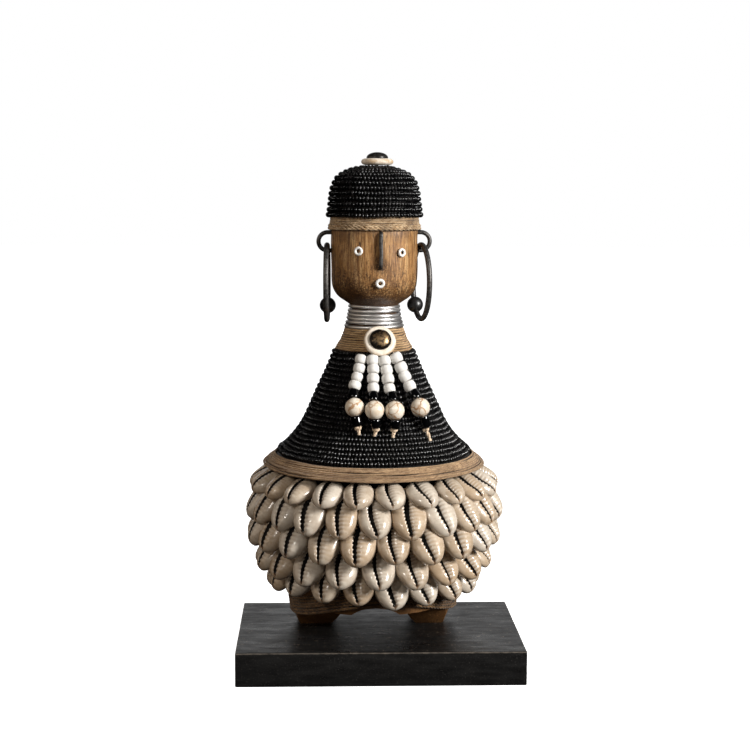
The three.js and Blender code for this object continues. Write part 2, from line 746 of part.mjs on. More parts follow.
function stoneBall() {
  const half = Math.sqrt(ballRadius ** 2 - (beadBore + 0.5) ** 2);
  const outside = Array.from({ length: 5 }, (_, i) => {
    const height = -half + (half * i) / 2;
    return [Math.sqrt(ballRadius ** 2 - height ** 2), height];
  });
  return ringed(outside, beadBore, 9);
}

// A piece that stands on one point and points at another
function strung(name, geometry, material, from, to) {
  const piece = add(figure, name, geometry, material);
  piece.position.copy(from);
  piece.quaternion.setFromUnitVectors(new THREE.Vector3(0, 0, 1), to.clone().sub(from).normalize());
}

// A point on the straight line between two others, at a distance from the first
const between = (from, to, distance) => to.clone().sub(from).setLength(distance).add(from);

function strand(number, route) {
  const label = `strand_${number}`;
  const spot = ([angle, drop, out]) => {
    const height = robeTop - drop;
    return around(radiusOf(robeShape, height) + out, height, radians(angle));
  };
  const [first, last, ballCentre] = [spot(route.first), spot(route.last), spot(route.ball)];
  const [knot, tail] = [spot(route.knot), spot(route.tail)];
  const whiteLength = first.distanceTo(last) / (whiteCount - 1);
  const top = between(first, last, -whiteLength / 2);
  const end = between(last, first, -whiteLength / 2);
  const intoBall = ballCentre.clone().sub(end).normalize();
  const ballHalf = knot.clone().sub(ballCentre).normalize().add(intoBall).setLength(ballRadius);
  const ballTop = ballCentre.clone().sub(ballHalf);
  const ballEnd = ballCentre.clone().add(ballHalf);
  strung(`${label}_white_beads`, barrels(whiteRadius, whiteLength, whiteCount), whiteGlass, top, end);
  const upperLength = end.distanceTo(ballTop) - 2 * beadGap;
  const upper = between(end, ballTop, beadGap);
  strung(`${label}_black_bead_upper`, barrels(blackRadius, upperLength, 1, 0.56), blackGlass, upper, ballTop);
  strung(`${label}_stone_ball`, stoneBall(), stone, ballCentre, ballEnd);
  const lowerLength = ballEnd.distanceTo(knot) - knotRadius - 2 * beadGap;
  const lower = between(ballEnd, knot, beadGap);
  strung(`${label}_black_bead_lower`, barrels(blackRadius, lowerLength, 1, 0.56), blackGlass, lower, knot);
  const exit = between(top, end, -2 * gap);
  const middle = between(top, end, 2 * whiteLength);
  const spots = [exit, first, middle, last, end, ballTop, ballCentre, ballEnd, knot, tail];
  const line = new THREE.CatmullRomCurve3(spots, false, 'centripetal');
  const section = new THREE.Shape().absarc(0, 0, threadRadius, 0, 2 * Math.PI);
  const steps = Math.round(line.getLength() / (6 * threadRadius));
  const cord = new THREE.ExtrudeGeometry(section, { steps, extrudePath: line, curveSegments: 4 });
  const tied = new THREE.IcosahedronGeometry(knotRadius, 0);
  tied.translate(...knot.toArray());
  add(figure, `${label}_thread`, geometryOf(solidOf(cord).add(solidOf(tied))), thread);
}

strands.forEach((route, i) => strand(i + 1, route));

// Screws from below, countersunk in the board, one into each foot
function screw(clearance, length) {
  const head = screwHeadRadius + clearance;
  const shank = screwRadius + clearance;
  const depth = screwHeadDepth + clearance;
  const point = [[shank, length - 2], [shank * 0.3, length], [0, length]];
  return turned([[0, 0], [head, 0], [shank, depth], ...point], 10);
}

const screwLength = plinthThickness + screwInFoot;
const plank = new THREE.BoxGeometry(plinthWidth, plinthDepth, plinthThickness);
plank.translate(0, 0, plinthThickness / 2);
let boardSolid = solidOf(plank);
doll.updateMatrixWorld(true);
for (const [side, label] of [[-1, 'left'], [1, 'right']]) {
  const below = new THREE.Vector3(side * screwX, 0, -plinthThickness);
  const piece = add(figure, `base_screw_${label}`, screw(0, screwLength - gap), steel);
  piece.position.copy(below).z += gap;
  const upwards = new THREE.Vector3(0, 0, 1);
  figureSolid = figureSolid.subtract(hole(screwRadius + gap, below, upwards, screwLength + gap, 10));
  const socket = solidOf(screw(gap, screwLength + 1));
  const onBoard = figure.localToWorld(below.clone());
  boardSolid = boardSolid.subtract(socket.translate(onBoard.x, onBoard.y, -0.001));
}

add(doll, 'plinth', geometryOf(boardSolid), board);
add(figure, 'carved_figure', geometryOf(figureSolid), wood);

export default doll;
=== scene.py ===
import math

import bmesh
import bpy
import numpy as np
from mathutils import Matrix, Vector


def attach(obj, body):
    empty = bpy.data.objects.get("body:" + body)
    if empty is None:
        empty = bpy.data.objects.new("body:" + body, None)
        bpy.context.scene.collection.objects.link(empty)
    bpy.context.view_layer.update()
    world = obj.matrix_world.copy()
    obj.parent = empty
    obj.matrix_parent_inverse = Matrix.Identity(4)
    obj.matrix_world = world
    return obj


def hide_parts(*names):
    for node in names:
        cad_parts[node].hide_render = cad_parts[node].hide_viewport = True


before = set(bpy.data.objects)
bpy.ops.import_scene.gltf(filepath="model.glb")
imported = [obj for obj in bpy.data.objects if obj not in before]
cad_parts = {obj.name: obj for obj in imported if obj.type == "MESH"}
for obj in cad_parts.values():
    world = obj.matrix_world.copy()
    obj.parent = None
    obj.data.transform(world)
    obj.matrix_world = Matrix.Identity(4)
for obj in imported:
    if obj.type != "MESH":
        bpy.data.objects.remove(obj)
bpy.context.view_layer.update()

MM = 0.001
rng = np.random.default_rng(7)
# Pieces of black glass, which the big soft boxes in front and on the left don't light
flagged = bpy.data.collections.new("flagged")

# Camera
CAMERA_AT = (-31.66, -832.86, 257.20)
CAMERA_TURN = math.radians(2.0245)
CAMERA_DIP = math.radians(6.8598)
CAMERA_ROLL = math.radians(0.2211)
LENS = 74.75

forward = Vector((
    math.sin(CAMERA_TURN) * math.cos(CAMERA_DIP),
    math.cos(CAMERA_TURN) * math.cos(CAMERA_DIP),
    -math.sin(CAMERA_DIP),
))
right = Vector((math.cos(CAMERA_TURN), -math.sin(CAMERA_TURN), 0))
above = right.cross(forward)
camera_x = right * math.cos(CAMERA_ROLL) + above * math.sin(CAMERA_ROLL)
camera_y = above * math.cos(CAMERA_ROLL) - right * math.sin(CAMERA_ROLL)
camera_data = bpy.data.cameras.new("camera")
camera_data.lens = LENS
camera_data.sensor_width = 36
camera_data.clip_start = 0.05
camera_data.clip_end = 20
camera = bpy.data.objects.new("camera", camera_data)
bpy.context.scene.collection.objects.link(camera)
turn = Matrix((camera_x, camera_y, -forward)).transposed().to_4x4()
camera.matrix_world = Matrix.Translation(Vector(CAMERA_AT) * MM) @ turn
bpy.context.scene.camera = camera

# The board, and where the figure stands on it, in millimetres
BOARD = (152.0, 100.0, 18.0)
FIGURE_AT = np.array([-2.3, 14.9, BOARD[2]])
FIGURE_TURN = math.radians(6.3)

# The figure's levels above the board, its head's radius, and the clearance between pieces
LEG = 13.5
SKIRT = 82.0
ROBE_TOP = 151.5
CHIN = 176.2
NOSE_END = 197.8
BAND_LEVEL = 216.6
CAP_LEVEL = 223.6
CROWN_LEVEL = 251.0
HEAD = 23.6
GAP = 0.3


# Geometry in the figure's own frame, with angles from its front and positive to its right
def about_z(angle):
    """The matrix that turns points by an angle about +Z."""
    c, s = math.cos(angle), math.sin(angle)
    return np.array([[c, -s, 0], [s, c, 0], [0, 0, 1]])


def to_part(points):
    """Points of the figure's own frame, in millimetres, as metres in the part's frame."""
    return (np.asarray(points, float) @ about_z(FIGURE_TURN).T + FIGURE_AT) * MM


def around(radius, height, angle):
    """A point at a radius, a height and an angle from the figure's front."""
    return np.stack([radius * np.sin(angle), -radius * np.cos(angle), height + 0 * angle], -1)


def unit(v):
    v = np.asarray(v, float)
    return v / np.linalg.norm(v, axis=-1, keepdims=True)


def distances(points):
    """How far each point lies along its line from the first one."""
    return np.concatenate([[0], np.cumsum(np.linalg.norm(np.diff(points, axis=0), axis=1))])


def place_piece(name, mesh, material, body, slot, nodes=()):
    """A mesh as a piece of the scene that rides on a body and stands for some of the frame's nodes."""
    piece = bpy.data.objects.new(name, mesh)
    bpy.context.scene.collection.objects.link(piece)
    mesh.materials.clear()
    mesh.materials.append(material)
    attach(piece, body)
    if nodes:
        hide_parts(*nodes)
    if slot == "black_glass":
        flagged.objects.link(piece)
    return piece


class Shape:
    """Vertices, faces and values per vertex of one piece, gathered part by part."""

    def __init__(self):
        self.parts, self.faces, self.count = [], [], 0
        self.values = {"tone": [], "run": [], "shade": []}

    def add(self, points, *faces, tone=0.0, run=None, shade=None):
        points = np.asarray(points, float).reshape(-1, 3)
        n = len(points)
        self.parts.append(points)
        self.faces += [np.asarray(group, int) + self.count for group in faces]
        self.values["tone"].append(np.broadcast_to(np.asarray(tone, float), (n,)))
        self.values["run"].append(np.zeros((n, 3)) if run is None else run)
        self.values["shade"].append(np.zeros((n, 3)) if shade is None else shade)
        self.count += n
        return self

    def add_tube(self, *line, **settings):
        points, faces, run = tube(*line, **settings)
        return self.add(points, *faces, run=run)

    def build(self, name, material, body, slot, *nodes):
        mesh = bpy.data.meshes.new(name)
        faces = [face for group in self.faces for face in group.tolist()]
        mesh.from_pydata(to_part(np.concatenate(self.parts)).tolist(), [], faces)
        tone = mesh.attributes.new("tone", "FLOAT", "POINT")
        tone.data.foreach_set("value", np.concatenate(self.values["tone"]).astype(np.float32))
        for key in ("run", "shade"):
            layer = mesh.attributes.new(key, "FLOAT_VECTOR", "POINT")
            layer.data.foreach_set("vector", np.concatenate(self.values[key]).astype(np.float32).ravel())
        mesh.polygons.foreach_set("use_smooth", [True] * len(mesh.polygons))
        mesh.update()
        return place_piece(name, mesh, material, body, slot, nodes)


def grid_faces(rows, columns):
    """Quads of a grid of vertices, rows one after the other, each joined round to its start."""
    i, k = np.meshgrid(np.arange(rows - 1), np.arange(columns), indexing="ij")
    a = i * columns + k
    b = i * columns + (k + 1) % columns
    return np.stack([a, b, b + columns, a + columns], -1).reshape(-1, 4)


def end_fans(total, sides):
    """Triangles that close the first and last of a tube's rings to the two vertices that follow them."""
    k = np.arange(sides)
    after = (k + 1) % sides
    low = np.stack([np.full(sides, total), after, k], -1)
    high = np.stack([np.full(sides, total + 1), total - sides + k, total - sides + after], -1)
    return np.concatenate([low, high])


def with_ends(values):
    """Values of a tube's rings, with those of the two middles that close it."""
    return np.concatenate([values, values[:1], values[-1:]])


def tube(centres, normals, radius, sides, twist=0.0, loop=False):
    """Vertices, sets of faces and run values of a tube, closed at its ends unless it is a loop."""
    centres = np.asarray(centres, float)
    tangents = unit(np.gradient(centres, axis=0))
    across = unit(np.cross(tangents, normals))
    out = np.cross(across, tangents)
    lengths = distances(centres)
    angle = 2 * np.pi * np.arange(sides) / sides
    radius = np.broadcast_to(np.asarray(radius, float), (len(centres),))[:, None, None]
    ring = out[:, None] * np.cos(angle)[:, None] + across[:, None] * np.sin(angle)[:, None]
    points = (centres[:, None] + radius * ring).reshape(-1, 3)
    spin = angle[None] + twist * lengths[:, None]
    run = np.stack([np.repeat(lengths[:, None], sides, 1), np.cos(spin), np.sin(spin)], -1).reshape(-1, 3)
    quads = grid_faces(len(centres), sides)
    if loop:
        return points, [quads], run
    middles = [points[:sides].mean(0), points[-sides:].mean(0)]
    return np.concatenate([points, middles]), [quads, end_fans(len(points), sides)], with_ends(run)


def lathe(profile, sides, closed=True):
    """Vertices and quads of a body of revolution about +Z. closed joins the last point to the first."""
    profile = np.asarray(profile, float)
    angle = 2 * np.pi * np.arange(sides) / sides
    radius, height = profile[:, :1], profile[:, 1:]
    points = np.stack([radius * np.cos(angle), radius * np.sin(angle), np.repeat(height, sides, 1)], -1)
    faces = grid_faces(len(profile) + closed, sides) % (len(profile) * sides)
    return points.reshape(-1, 3), faces


def aimed(points, centre, axis):
    """Points with +Z turned to an axis, moved to a centre."""
    turn = Vector((0, 0, 1)).rotation_difference(Vector(unit(axis)))
    return np.asarray(points) @ np.array(turn.to_matrix()).T + np.asarray(centre)


def blend(a, b, low, high, s):
    """The point that belongs to s on the straight line from a, at low, to b, at high."""
    return ((high - s) * a + (s - low) * b) / (high - low)


def catmull(points, per, power=0.5):
    """A smooth curve through points, per steps for each stretch; power 0.5 is centripetal, 0 uniform."""
    points = np.asarray(points, float)
    padded = np.concatenate([[2 * points[0] - points[1]], points, [2 * points[-1] - points[-2]]])
    out = []
    for i in range(1, len(padded) - 2):
        p = padded[i - 1:i + 3]
        t = [0]
        for k in range(3):
            t.append(t[-1] + max(np.linalg.norm(p[k + 1] - p[k]), 1e-6) ** power)
        for s in np.linspace(t[1], t[2], per, endpoint=False):
            a = [blend(p[k], p[k + 1], t[k], t[k + 1], s) for k in range(3)]
            b = [blend(a[k], a[k + 1], t[k], t[k + 2], s) for k in range(2)]
            out.append(blend(b[0], b[1], t[1], t[2], s))
    out.append(points[-1])
    return np.array(out)


class Outline:
    """A smooth outline of a body of revolution, run upwards, read at shares of its length."""

    def __init__(self, points):
        self.line = catmull(points, 24, power=0)
        self.lengths = distances(self.line)

    def at(self, share):
        s = np.clip(share, 0, 1) * self.lengths[-1]
        return np.stack([np.interp(s, self.lengths, self.line[:, k]) for k in (0, 1)], -1)

    def normal(self, share):
        step = 0.004
        start = np.clip(share, 0, 1 - step)
        along = unit(self.at(start + step) - self.at(start))
        return np.stack([along[..., 1], -along[..., 0]], -1)


# Centre lines of the windings: radius, and height above the board
robe_line = Outline([
    (21.7 + 30.1 * out, 150.3 - 53.6 * down)
    for down, out in [(1, 1), (.895, .805), (.735, .585), (.5, .385), (.19, .14), (0, 0)]
])
cap_line = Outline([
    (25.0 * out, 224.7 + 25.1 * up)
    for out, up in [
        (1, 0), (.965, .26), (.935, .48), (.875, .68), (.765, .83), (.6, .925), (.4, .985), (.3, 1),
    ]
])
band_line = Outline([(24.35, 217.55), (23.85, 220.1), (23.25, 222.65)])
band_low = Outline([(24.45, 217.45), (24.25, 218.75)])
band_high = Outline([(24.05, 219.95), (23.65, 223.2)])
neck_line = Outline([(15.5, 164.6), (14.1, 169.85), (13.3, 175.1)])
collar_line = Outline([(20.7, 152.4), (17.9, 157.26), (15.7, 162.9)])
brim_line = Outline([(60.4, 89.82), (54.41, 94.5)])
hem_line = Outline([(45.4, 7.85), (46.6, 16.46)])


# Node materials
class Nodes:
    """A principled material, its color as laid up so far, and short calls for the nodes that feed it."""

    def __init__(self, name, **inputs):
        self.material = bpy.data.materials.new(name)
        self.material.use_nodes = True
        self.tree = self.material.node_tree
        self.shader = self.tree.nodes["Principled BSDF"]
        self.color = None
        for key, value in inputs.items():
            self.shader.inputs[key.replace("_", " ")].default_value = value

    def node(self, kind, inputs=None, **settings):
        node = self.tree.nodes.new(kind)
        for key, value in settings.items():
            setattr(node, key, value)
        for key, value in (inputs or {}).items():
            socket = node.inputs[key]
            if isinstance(value, bpy.types.NodeSocket):
                self.tree.links.new(value, socket)
            else:
                socket.default_value = value
        return node

    def place(self):
        return self.node("ShaderNodeTexCoord").outputs["Object"]

    def tone(self):
        return self.node("ShaderNodeAttribute", attribute_name="tone").outputs["Fac"]

    def along(self, scale):
        """Where a point lies on its cord: distance along it and place round it, scaled."""
        run = self.node("ShaderNodeAttribute", attribute_name="run").outputs["Vector"]
        return self.scaled(run, scale)

    def shades(self):
        shade = self.node("ShaderNodeAttribute", attribute_name="shade").outputs["Vector"]
        return self.axes(shade)

    def axes(self, vector):
        return self.node("ShaderNodeSeparateXYZ", {0: vector}).outputs

    def scaled(self, vector, scale):
        return self.node("ShaderNodeMapping", {"Vector": vector, "Scale": scale}).outputs[0]

    def noise(self, vector, scale, detail=4.0, rough=0.55, distortion=0.0, output="Fac"):
        return self.node("ShaderNodeTexNoise", {
            "Vector": vector, "Scale": scale,
            "Detail": detail, "Roughness": rough, "Distortion": distortion,
        }).outputs[output]

    def cells(self, vector, scale, feature="F1"):
        inputs = {"Vector": vector, "Scale": scale}
        return self.node("ShaderNodeTexVoronoi", inputs, feature=feature).outputs["Distance"]

    def span(self, value, low, high, to_low=0.0, to_high=1.0):
        return self.node("ShaderNodeMapRange", {
            "Value": value, "From Min": low, "From Max": high, "To Min": to_low, "To Max": to_high,
        }).outputs[0]

    def between(self, noise, low, high):
        """Most of a noise's values, which lie from 0.3 to 0.7, run from low to high."""
        return self.span(noise, 0.3, 0.7, low, high)

    def math(self, operation, a, b=0.0):
        return self.node("ShaderNodeMath", {0: a, 1: b}, operation=operation).outputs[0]

    def vector_math(self, operation, a, b, output=0):
        return self.node("ShaderNodeVectorMath", {0: a, 1: b}, operation=operation).outputs[output]

    def times(self, a, b):
        return self.math("MULTIPLY", a, b)

    def plus(self, a, b):
        return self.math("ADD", a, b)

    def bump(self, height, distance, strength=1.0, under=None):
        inputs = {"Height": height, "Distance": distance, "Strength": strength}
        if under is not None:
            inputs["Normal"] = under
        return self.node("ShaderNodeBump", inputs).outputs[0]

    def base(self, value, *stops):
        """Start the color as a ramp of (place, color) stops over a value."""
        node = self.node("ShaderNodeValToRGB", {"Fac": value})
        ramp = node.color_ramp
        while len(ramp.elements) < len(stops):
            ramp.elements.new(0.5)
        for element, (at, color) in zip(ramp.elements, stops):
            element.position = at
            element.color = (*color, 1)
        self.color = node.outputs["Color"]

    def paint(self, tint, share, strength=1.0):
        """Lay a tint over the color, as far as a share times a strength."""
        if strength != 1.0:
            share = self.times(share, strength)
        node = self.node("ShaderNodeMix", {"Factor": share}, data_type="RGBA")
        under, over, result = node.inputs[6], node.inputs[7], node.outputs[2]
        if isinstance(self.color, bpy.types.NodeSocket):
            self.tree.links.new(self.color, under)
        else:
            under.default_value = (*self.color, 1)
        over.default_value = (*tint, 1)
        self.color = result

    def finish(self, normal=None, roughness=None):
        """Join the color, the bumps and the roughness to the shader."""
        fed = {"Base Color": self.color, "Normal": normal, "Roughness": roughness}
        for socket, value in fed.items():
            if value is not None:
                self.tree.links.new(value, self.shader.inputs[socket])
        return self.material


def board_paint():
    m = Nodes("board_paint", Specular_IOR_Level=0.3)
    at = m.place()
    x, y, z = m.axes(at)
    strokes = m.noise(m.scaled(at, (60, 300, 300)), 1.0, 5, 0.6)
    patches = m.noise(at, 28, 4)
    fine = m.noise(at, 1500, 2)
    m.base(strokes, (0.3, (0.003, 0.003, 0.0032)), (0.7, (0.010, 0.0098, 0.0098)))
    upper = m.span(z, (BOARD[2] - 0.6) * MM, (BOARD[2] - 0.2) * MM)
    worn = m.times(m.span(m.cells(at, 900), 0.12, 0.05), m.span(patches, 0.46, 0.60))
    m.paint((0.16, 0.15, 0.14), m.times(worn, upper))
    m.paint((0.085, 0.080, 0.075), m.span(fine, 0.60, 0.78), 0.55)
    m.paint((0.17, 0.14, 0.11), m.times(m.span(m.noise(at, 640, 2), 0.66, 0.72), upper))
    from_ends = m.math("SUBTRACT", BOARD[0] / 2 * MM, m.math("ABSOLUTE", x))
    from_sides = m.math("SUBTRACT", BOARD[1] / 2 * MM, m.math("ABSOLUTE", y))
    from_top = m.math("ABSOLUTE", m.math("SUBTRACT", BOARD[2] * MM, z))
    edge = m.math("MAXIMUM", m.math("MINIMUM", from_ends, from_sides), from_top)
    edge = m.plus(edge, m.times(m.noise(at, 320, 4), 0.0012))
    m.paint((0.10, 0.085, 0.07), m.span(edge, 0.0013, 0.0008))
    sheen = m.noise(m.scaled(at, (55, 200, 300)), 1.0, 6, 0.7)
    grain = m.bump(fine, 0.00010, 0.6, m.bump(strokes, 0.00005))
    return m.finish(grain, m.span(sheen, 0.30, 0.70, 0.20, 0.52))


def carved_wood():
    m = Nodes("carved_wood", Specular_IOR_Level=0.35)
    at = m.place()
    x, _, z = m.axes(at)

    def height(level):
        return (FIGURE_AT[2] + level) * MM

    # Grain
    bands = m.noise(m.scaled(at, (1, 1, 0.09)), 300, 6, 0.65, 0.4)
    fibres = m.noise(m.scaled(at, (1, 1, 0.045)), 1500, 5, 0.7)
    pores = m.noise(m.scaled(at, (1, 1, 0.11)), 1700, 2, 0.5)
    dark, middle, light = (0.210, 0.095, 0.028), (0.430, 0.225, 0.080), (0.700, 0.440, 0.205)
    m.base(bands, (0.30, dark), (0.50, middle), (0.70, light))
    m.paint((0.105, 0.040, 0.011), m.span(fibres, 0.55, 0.40), 0.80)
    m.paint((0.780, 0.520, 0.260), m.span(fibres, 0.56, 0.68), 0.45)
    m.paint((0.026, 0.010, 0.004), m.span(pores, 0.40, 0.32))
    # Stains; dark speckle, more of it towards the figure's left and under the jaw, where it is painted
    # shade; painted shade round the nose bar's lower end and below the headband
    blotch = m.noise(at, 150, 7, 0.75)
    m.paint((0.120, 0.050, 0.016), m.span(m.noise(at, 48, 6, 0.75), 0.48, 0.66), 0.70)
    # Painted shade under the jaw, laid as more dark speckle towards the chin
    jaw_shade_share = m.times(m.span(z, height(CHIN) + 0.024, height(CHIN) + 0.001), 0.25)
    left_share = m.times(m.span(x, 0.002, -0.026), 0.06)
    cover = m.plus(m.plus(jaw_shade_share, left_share), m.times(blotch, 0.30))
    speckle = m.noise(at, 1050, 6, 0.8)
    m.paint((0.046, 0.020, 0.008), m.span(m.plus(speckle, cover), 0.73, 0.86), 0.88)
    # Painted shade: a dark spot round the lower end of the nose bar
    nose_end = tuple(to_part(around(HEAD, NOSE_END, 0.0)))
    nose_shade = m.vector_math("DISTANCE", at, nose_end, "Value")
    nose_shade = m.times(m.span(nose_shade, 0.0055, 0.0015), m.span(speckle, 0.40, 0.56))
    m.paint((0.030, 0.014, 0.007), nose_shade)
    # Painted shade: darker, mottled wood just below the headband
    band_shade = m.span(z, height(BAND_LEVEL) - 0.007, height(BAND_LEVEL))
    m.paint((0.090, 0.045, 0.020), m.times(band_shade, m.span(blotch, 0.36, 0.60)), 0.7)
    # Painted shade: near-black wood under the beads and behind the shells, and darker feet
    for low, high in ((LEG + 12, ROBE_TOP), (CAP_LEVEL, CROWN_LEVEL + 9)):
        above_low = m.span(z, height(low) - 0.0003, height(low))
        below_high = m.span(z, height(high), height(high) - 0.0003)
        m.paint((0.006, 0.005, 0.005), m.times(above_low, below_high))
    # Painted shade: the feet darker towards the board
    m.paint((0.140, 0.062, 0.016), m.span(z, height(22) + 0.004, height(22)), 0.50)
    relief = m.bump(m.noise(at, 420, 3), 0.00035, 0.5, m.bump(fibres, 0.00020, 0.8))
    return m.finish(m.bump(pores, 0.00020, 0.5, relief), m.between(blotch, 0.44, 0.60))


def jute(name, dark, middle, light, soil=0.3, groove_shade=0.92):
    m = Nodes(name, Roughness=0.88, Specular_IOR_Level=0.25, Sheen_Weight=0.15, Sheen_Roughness=0.6)
    fibres = m.noise(m.along((0.32, 2.2, 2.2)), 1.0, 6, 0.75, 0.3)
    strands = m.noise(m.along((0.10, 0.8, 0.8)), 1.0, 3, 0.6)
    m.base(fibres, (0.37, dark), (0.50, middle), (0.63, light))
    m.paint(light, m.span(strands, 0.42, 0.66), 0.5)
    m.paint(dark, m.span(m.noise(m.place(), 85, 4), 0.55, 0.35), soil)
    m.paint(dark, m.tone(), 0.55)
    # Painted shade: darker where the cord turns into the grooves between its turns
    m.paint(tuple(0.22 * c for c in dark), m.shades()[0], groove_shade)
    return m.finish(m.bump(fibres, 0.00025, 0.9))


def black_glass(name, rough, specular=0.8):
    m = Nodes(name, Specular_IOR_Level=specular)
    at = m.place()
    tone = m.tone()
    m.color = (0.0015, 0.0015, 0.0018)
    m.paint((0.012, 0.011, 0.011), tone)
    cloud = m.span(m.noise(at, 900, 3), 0.3, 0.7, rough - 0.02, rough + 0.04)
    return m.finish(m.bump(m.noise(at, 1600, 3), 0.00004, 0.4), m.plus(cloud, m.times(tone, 0.04)))


def bright_wire():
    m = Nodes("bright_wire", Metallic=1.0)
    scratch = m.noise(m.along((0.08, 3.5, 3.5)), 1.0, 4, 0.7)
    dull = m.noise(m.along((0.06, 0.6, 0.6)), 1.0, 3)
    m.base(scratch, (0.25, (0.62, 0.605, 0.60)), (0.7, (0.86, 0.85, 0.84)))
    return m.finish(m.bump(scratch, 0.00002, 0.4), m.between(dull, 0.34, 0.50))


def dark_iron():
    m = Nodes("dark_iron", Metallic=0.75, Specular_IOR_Level=0.5)
    at = m.place()
    scale = m.noise(at, 700, 5, 0.65)
    m.base(scale, (0.3, (0.030, 0.028, 0.027)), (0.7, (0.125, 0.118, 0.112)))
    m.paint((0.15, 0.10, 0.07), m.span(m.noise(at, 160, 4), 0.58, 0.72), 0.5)
    return m.finish(m.bump(scale, 0.00012, 0.6), m.between(scale, 0.36, 0.58))


def bone():
    m = Nodes("bone", Specular_IOR_Level=0.4)
    at = m.place()
    grain = m.noise(m.scaled(at, (1, 1, 0.4)), 420, 5, 0.6)
    stain = m.noise(at, 190, 5, 0.65)
    m.base(grain, (0.3, (0.66, 0.56, 0.44)), (0.65, (0.86, 0.785, 0.68)))
    m.paint((0.46, 0.29, 0.13), m.times(m.tone(), m.span(stain, 0.40, 0.62)))
    m.paint((0.52, 0.36, 0.20), m.span(stain, 0.62, 0.74), 0.4)
    return m.finish(m.bump(grain, 0.00010, 0.5), m.between(grain, 0.38, 0.55))


def antique_brass():
    m = Nodes("antique_brass", Metallic=1.0)
    patina = m.noise(m.place(), 380, 6, 0.7)
    worn = m.math("SUBTRACT", m.span(patina, 0.36, 0.66), m.tone())
    m.color = (0.026, 0.021, 0.017)
    m.paint((0.44, 0.29, 0.15), m.span(worn, 0.10, 0.80))
    return m.finish(m.bump(patina, 0.00010, 0.4), m.between(patina, 0.50, 0.38))


def black_metal():
    m = Nodes("black_metal", Metallic=0.55, Specular_IOR_Level=0.5, Coat_Weight=0.15, Coat_Roughness=0.2)
    patina = m.noise(m.place(), 500, 5)
    m.base(patina, (0.3, (0.008, 0.008, 0.008)), (0.7, (0.045, 0.040, 0.036)))
    return m.finish(m.bump(patina, 0.00008, 0.4), m.between(patina, 0.32, 0.50))


def white_glass():
    m = Nodes("white_glass", Specular_IOR_Level=0.4)
    at = m.place()
    cloud = m.noise(at, 320, 4)
    m.base(cloud, (0.3, (0.76, 0.75, 0.72)), (0.7, (0.88, 0.875, 0.86)))
    m.paint((0.46, 0.43, 0.38), m.span(m.cells(at, 1100), 0.09, 0.03), 0.5)
    m.paint((0.30, 0.25, 0.20), m.tone())
    return m.finish(m.bump(m.noise(at, 700, 3), 0.00012, 0.5), m.between(cloud, 0.40, 0.58))


def veined_stone():
    m = Nodes("veined_stone", Specular_IOR_Level=0.45, Coat_Weight=0.25, Coat_Roughness=0.12)
    at = m.place()
    sway = 0.0045
    warp = m.vector_math("MULTIPLY", m.noise(at, 220, 3, 0.5, output="Color"), (sway, sway, sway))
    bent = m.vector_math("ADD", at, warp)
    veins = m.cells(bent, 150, "DISTANCE_TO_EDGE")
    hairs = m.cells(bent, 330, "DISTANCE_TO_EDGE")
    cloud = m.noise(at, 260, 4)
    m.base(cloud, (0.3, (0.66, 0.545, 0.41)), (0.68, (0.86, 0.80, 0.70)))
    m.paint((0.46, 0.26, 0.11), m.times(m.span(hairs, 0.035, 0.0), m.span(cloud, 0.42, 0.60, 0.0, 0.7)))
    m.paint((0.38, 0.19, 0.07), m.times(m.span(veins, 0.07, 0.01), m.span(cloud, 0.30, 0.54, 0.3, 1.0)))
    return m.finish(m.bump(veins, 0.00008, 0.4), m.between(cloud, 0.30, 0.46))


def cotton():
    m = Nodes("bead_thread", Roughness=0.9, Specular_IOR_Level=0.2, Sheen_Weight=0.2)
    fibres = m.noise(m.along((1.4, 2.0, 2.0)), 1.0, 5, 0.7)
    m.base(fibres, (0.3, (0.42, 0.28, 0.17)), (0.55, (0.76, 0.60, 0.44)), (0.8, (0.88, 0.76, 0.61)))
    return m.finish(m.bump(fibres, 0.00018, 0.9))


def cowrie_shell():
    m = Nodes("cowrie_shell", Specular_IOR_Level=0.5, Coat_Weight=0.55, Coat_Roughness=0.07)
    at = m.place()
    tone = m.tone()
    inside, stains_and_groove_shade, ridge_highlight = m.shades()
    cloud = m.noise(at, 130, 5, 0.6)
    growth = m.noise(m.scaled(at, (1, 1, 0.35)), 420, 4)
    dark, middle, light = (0.35, 0.260, 0.178), (0.50, 0.412, 0.315), (0.68, 0.61, 0.51)
    m.base(cloud, (0.30, dark), (0.52, middle), (0.74, light))
    m.paint((0.44, 0.34, 0.24), m.span(growth, 0.55, 0.38), 0.30)
    m.paint((0.47, 0.335, 0.21), m.span(tone, 0.45, 1.0), 0.75)
    m.paint((0.70, 0.66, 0.59), m.span(tone, 0.35, 0.0), 0.45)
    # Painted highlight: lighter on the ridges of the teeth
    m.paint((0.80, 0.745, 0.66), ridge_highlight, 0.75)
    # Stains, and painted shade in the grooves between the teeth
    m.paint((0.26, 0.13, 0.05), stains_and_groove_shade, 0.85)
    # Painted shade: the mouth near-black, and the back a little darker
    m.paint((0.012, 0.009, 0.007), inside)
    rough = m.plus(m.between(cloud, 0.20, 0.34), m.times(inside, 0.5))
    return m.finish(m.bump(m.noise(at, 480, 4), 0.00020, 0.6), rough)


def steel():
    m = Nodes("screw_steel", Metallic=1.0)
    brushed = m.noise(m.scaled(m.place(), (1, 1, 0.2)), 900, 4)
    m.base(brushed, (0.3, (0.32, 0.32, 0.31)), (0.7, (0.58, 0.58, 0.57)))
    return m.finish(m.bump(brushed, 0.00008, 0.5), m.between(brushed, 0.28, 0.48))


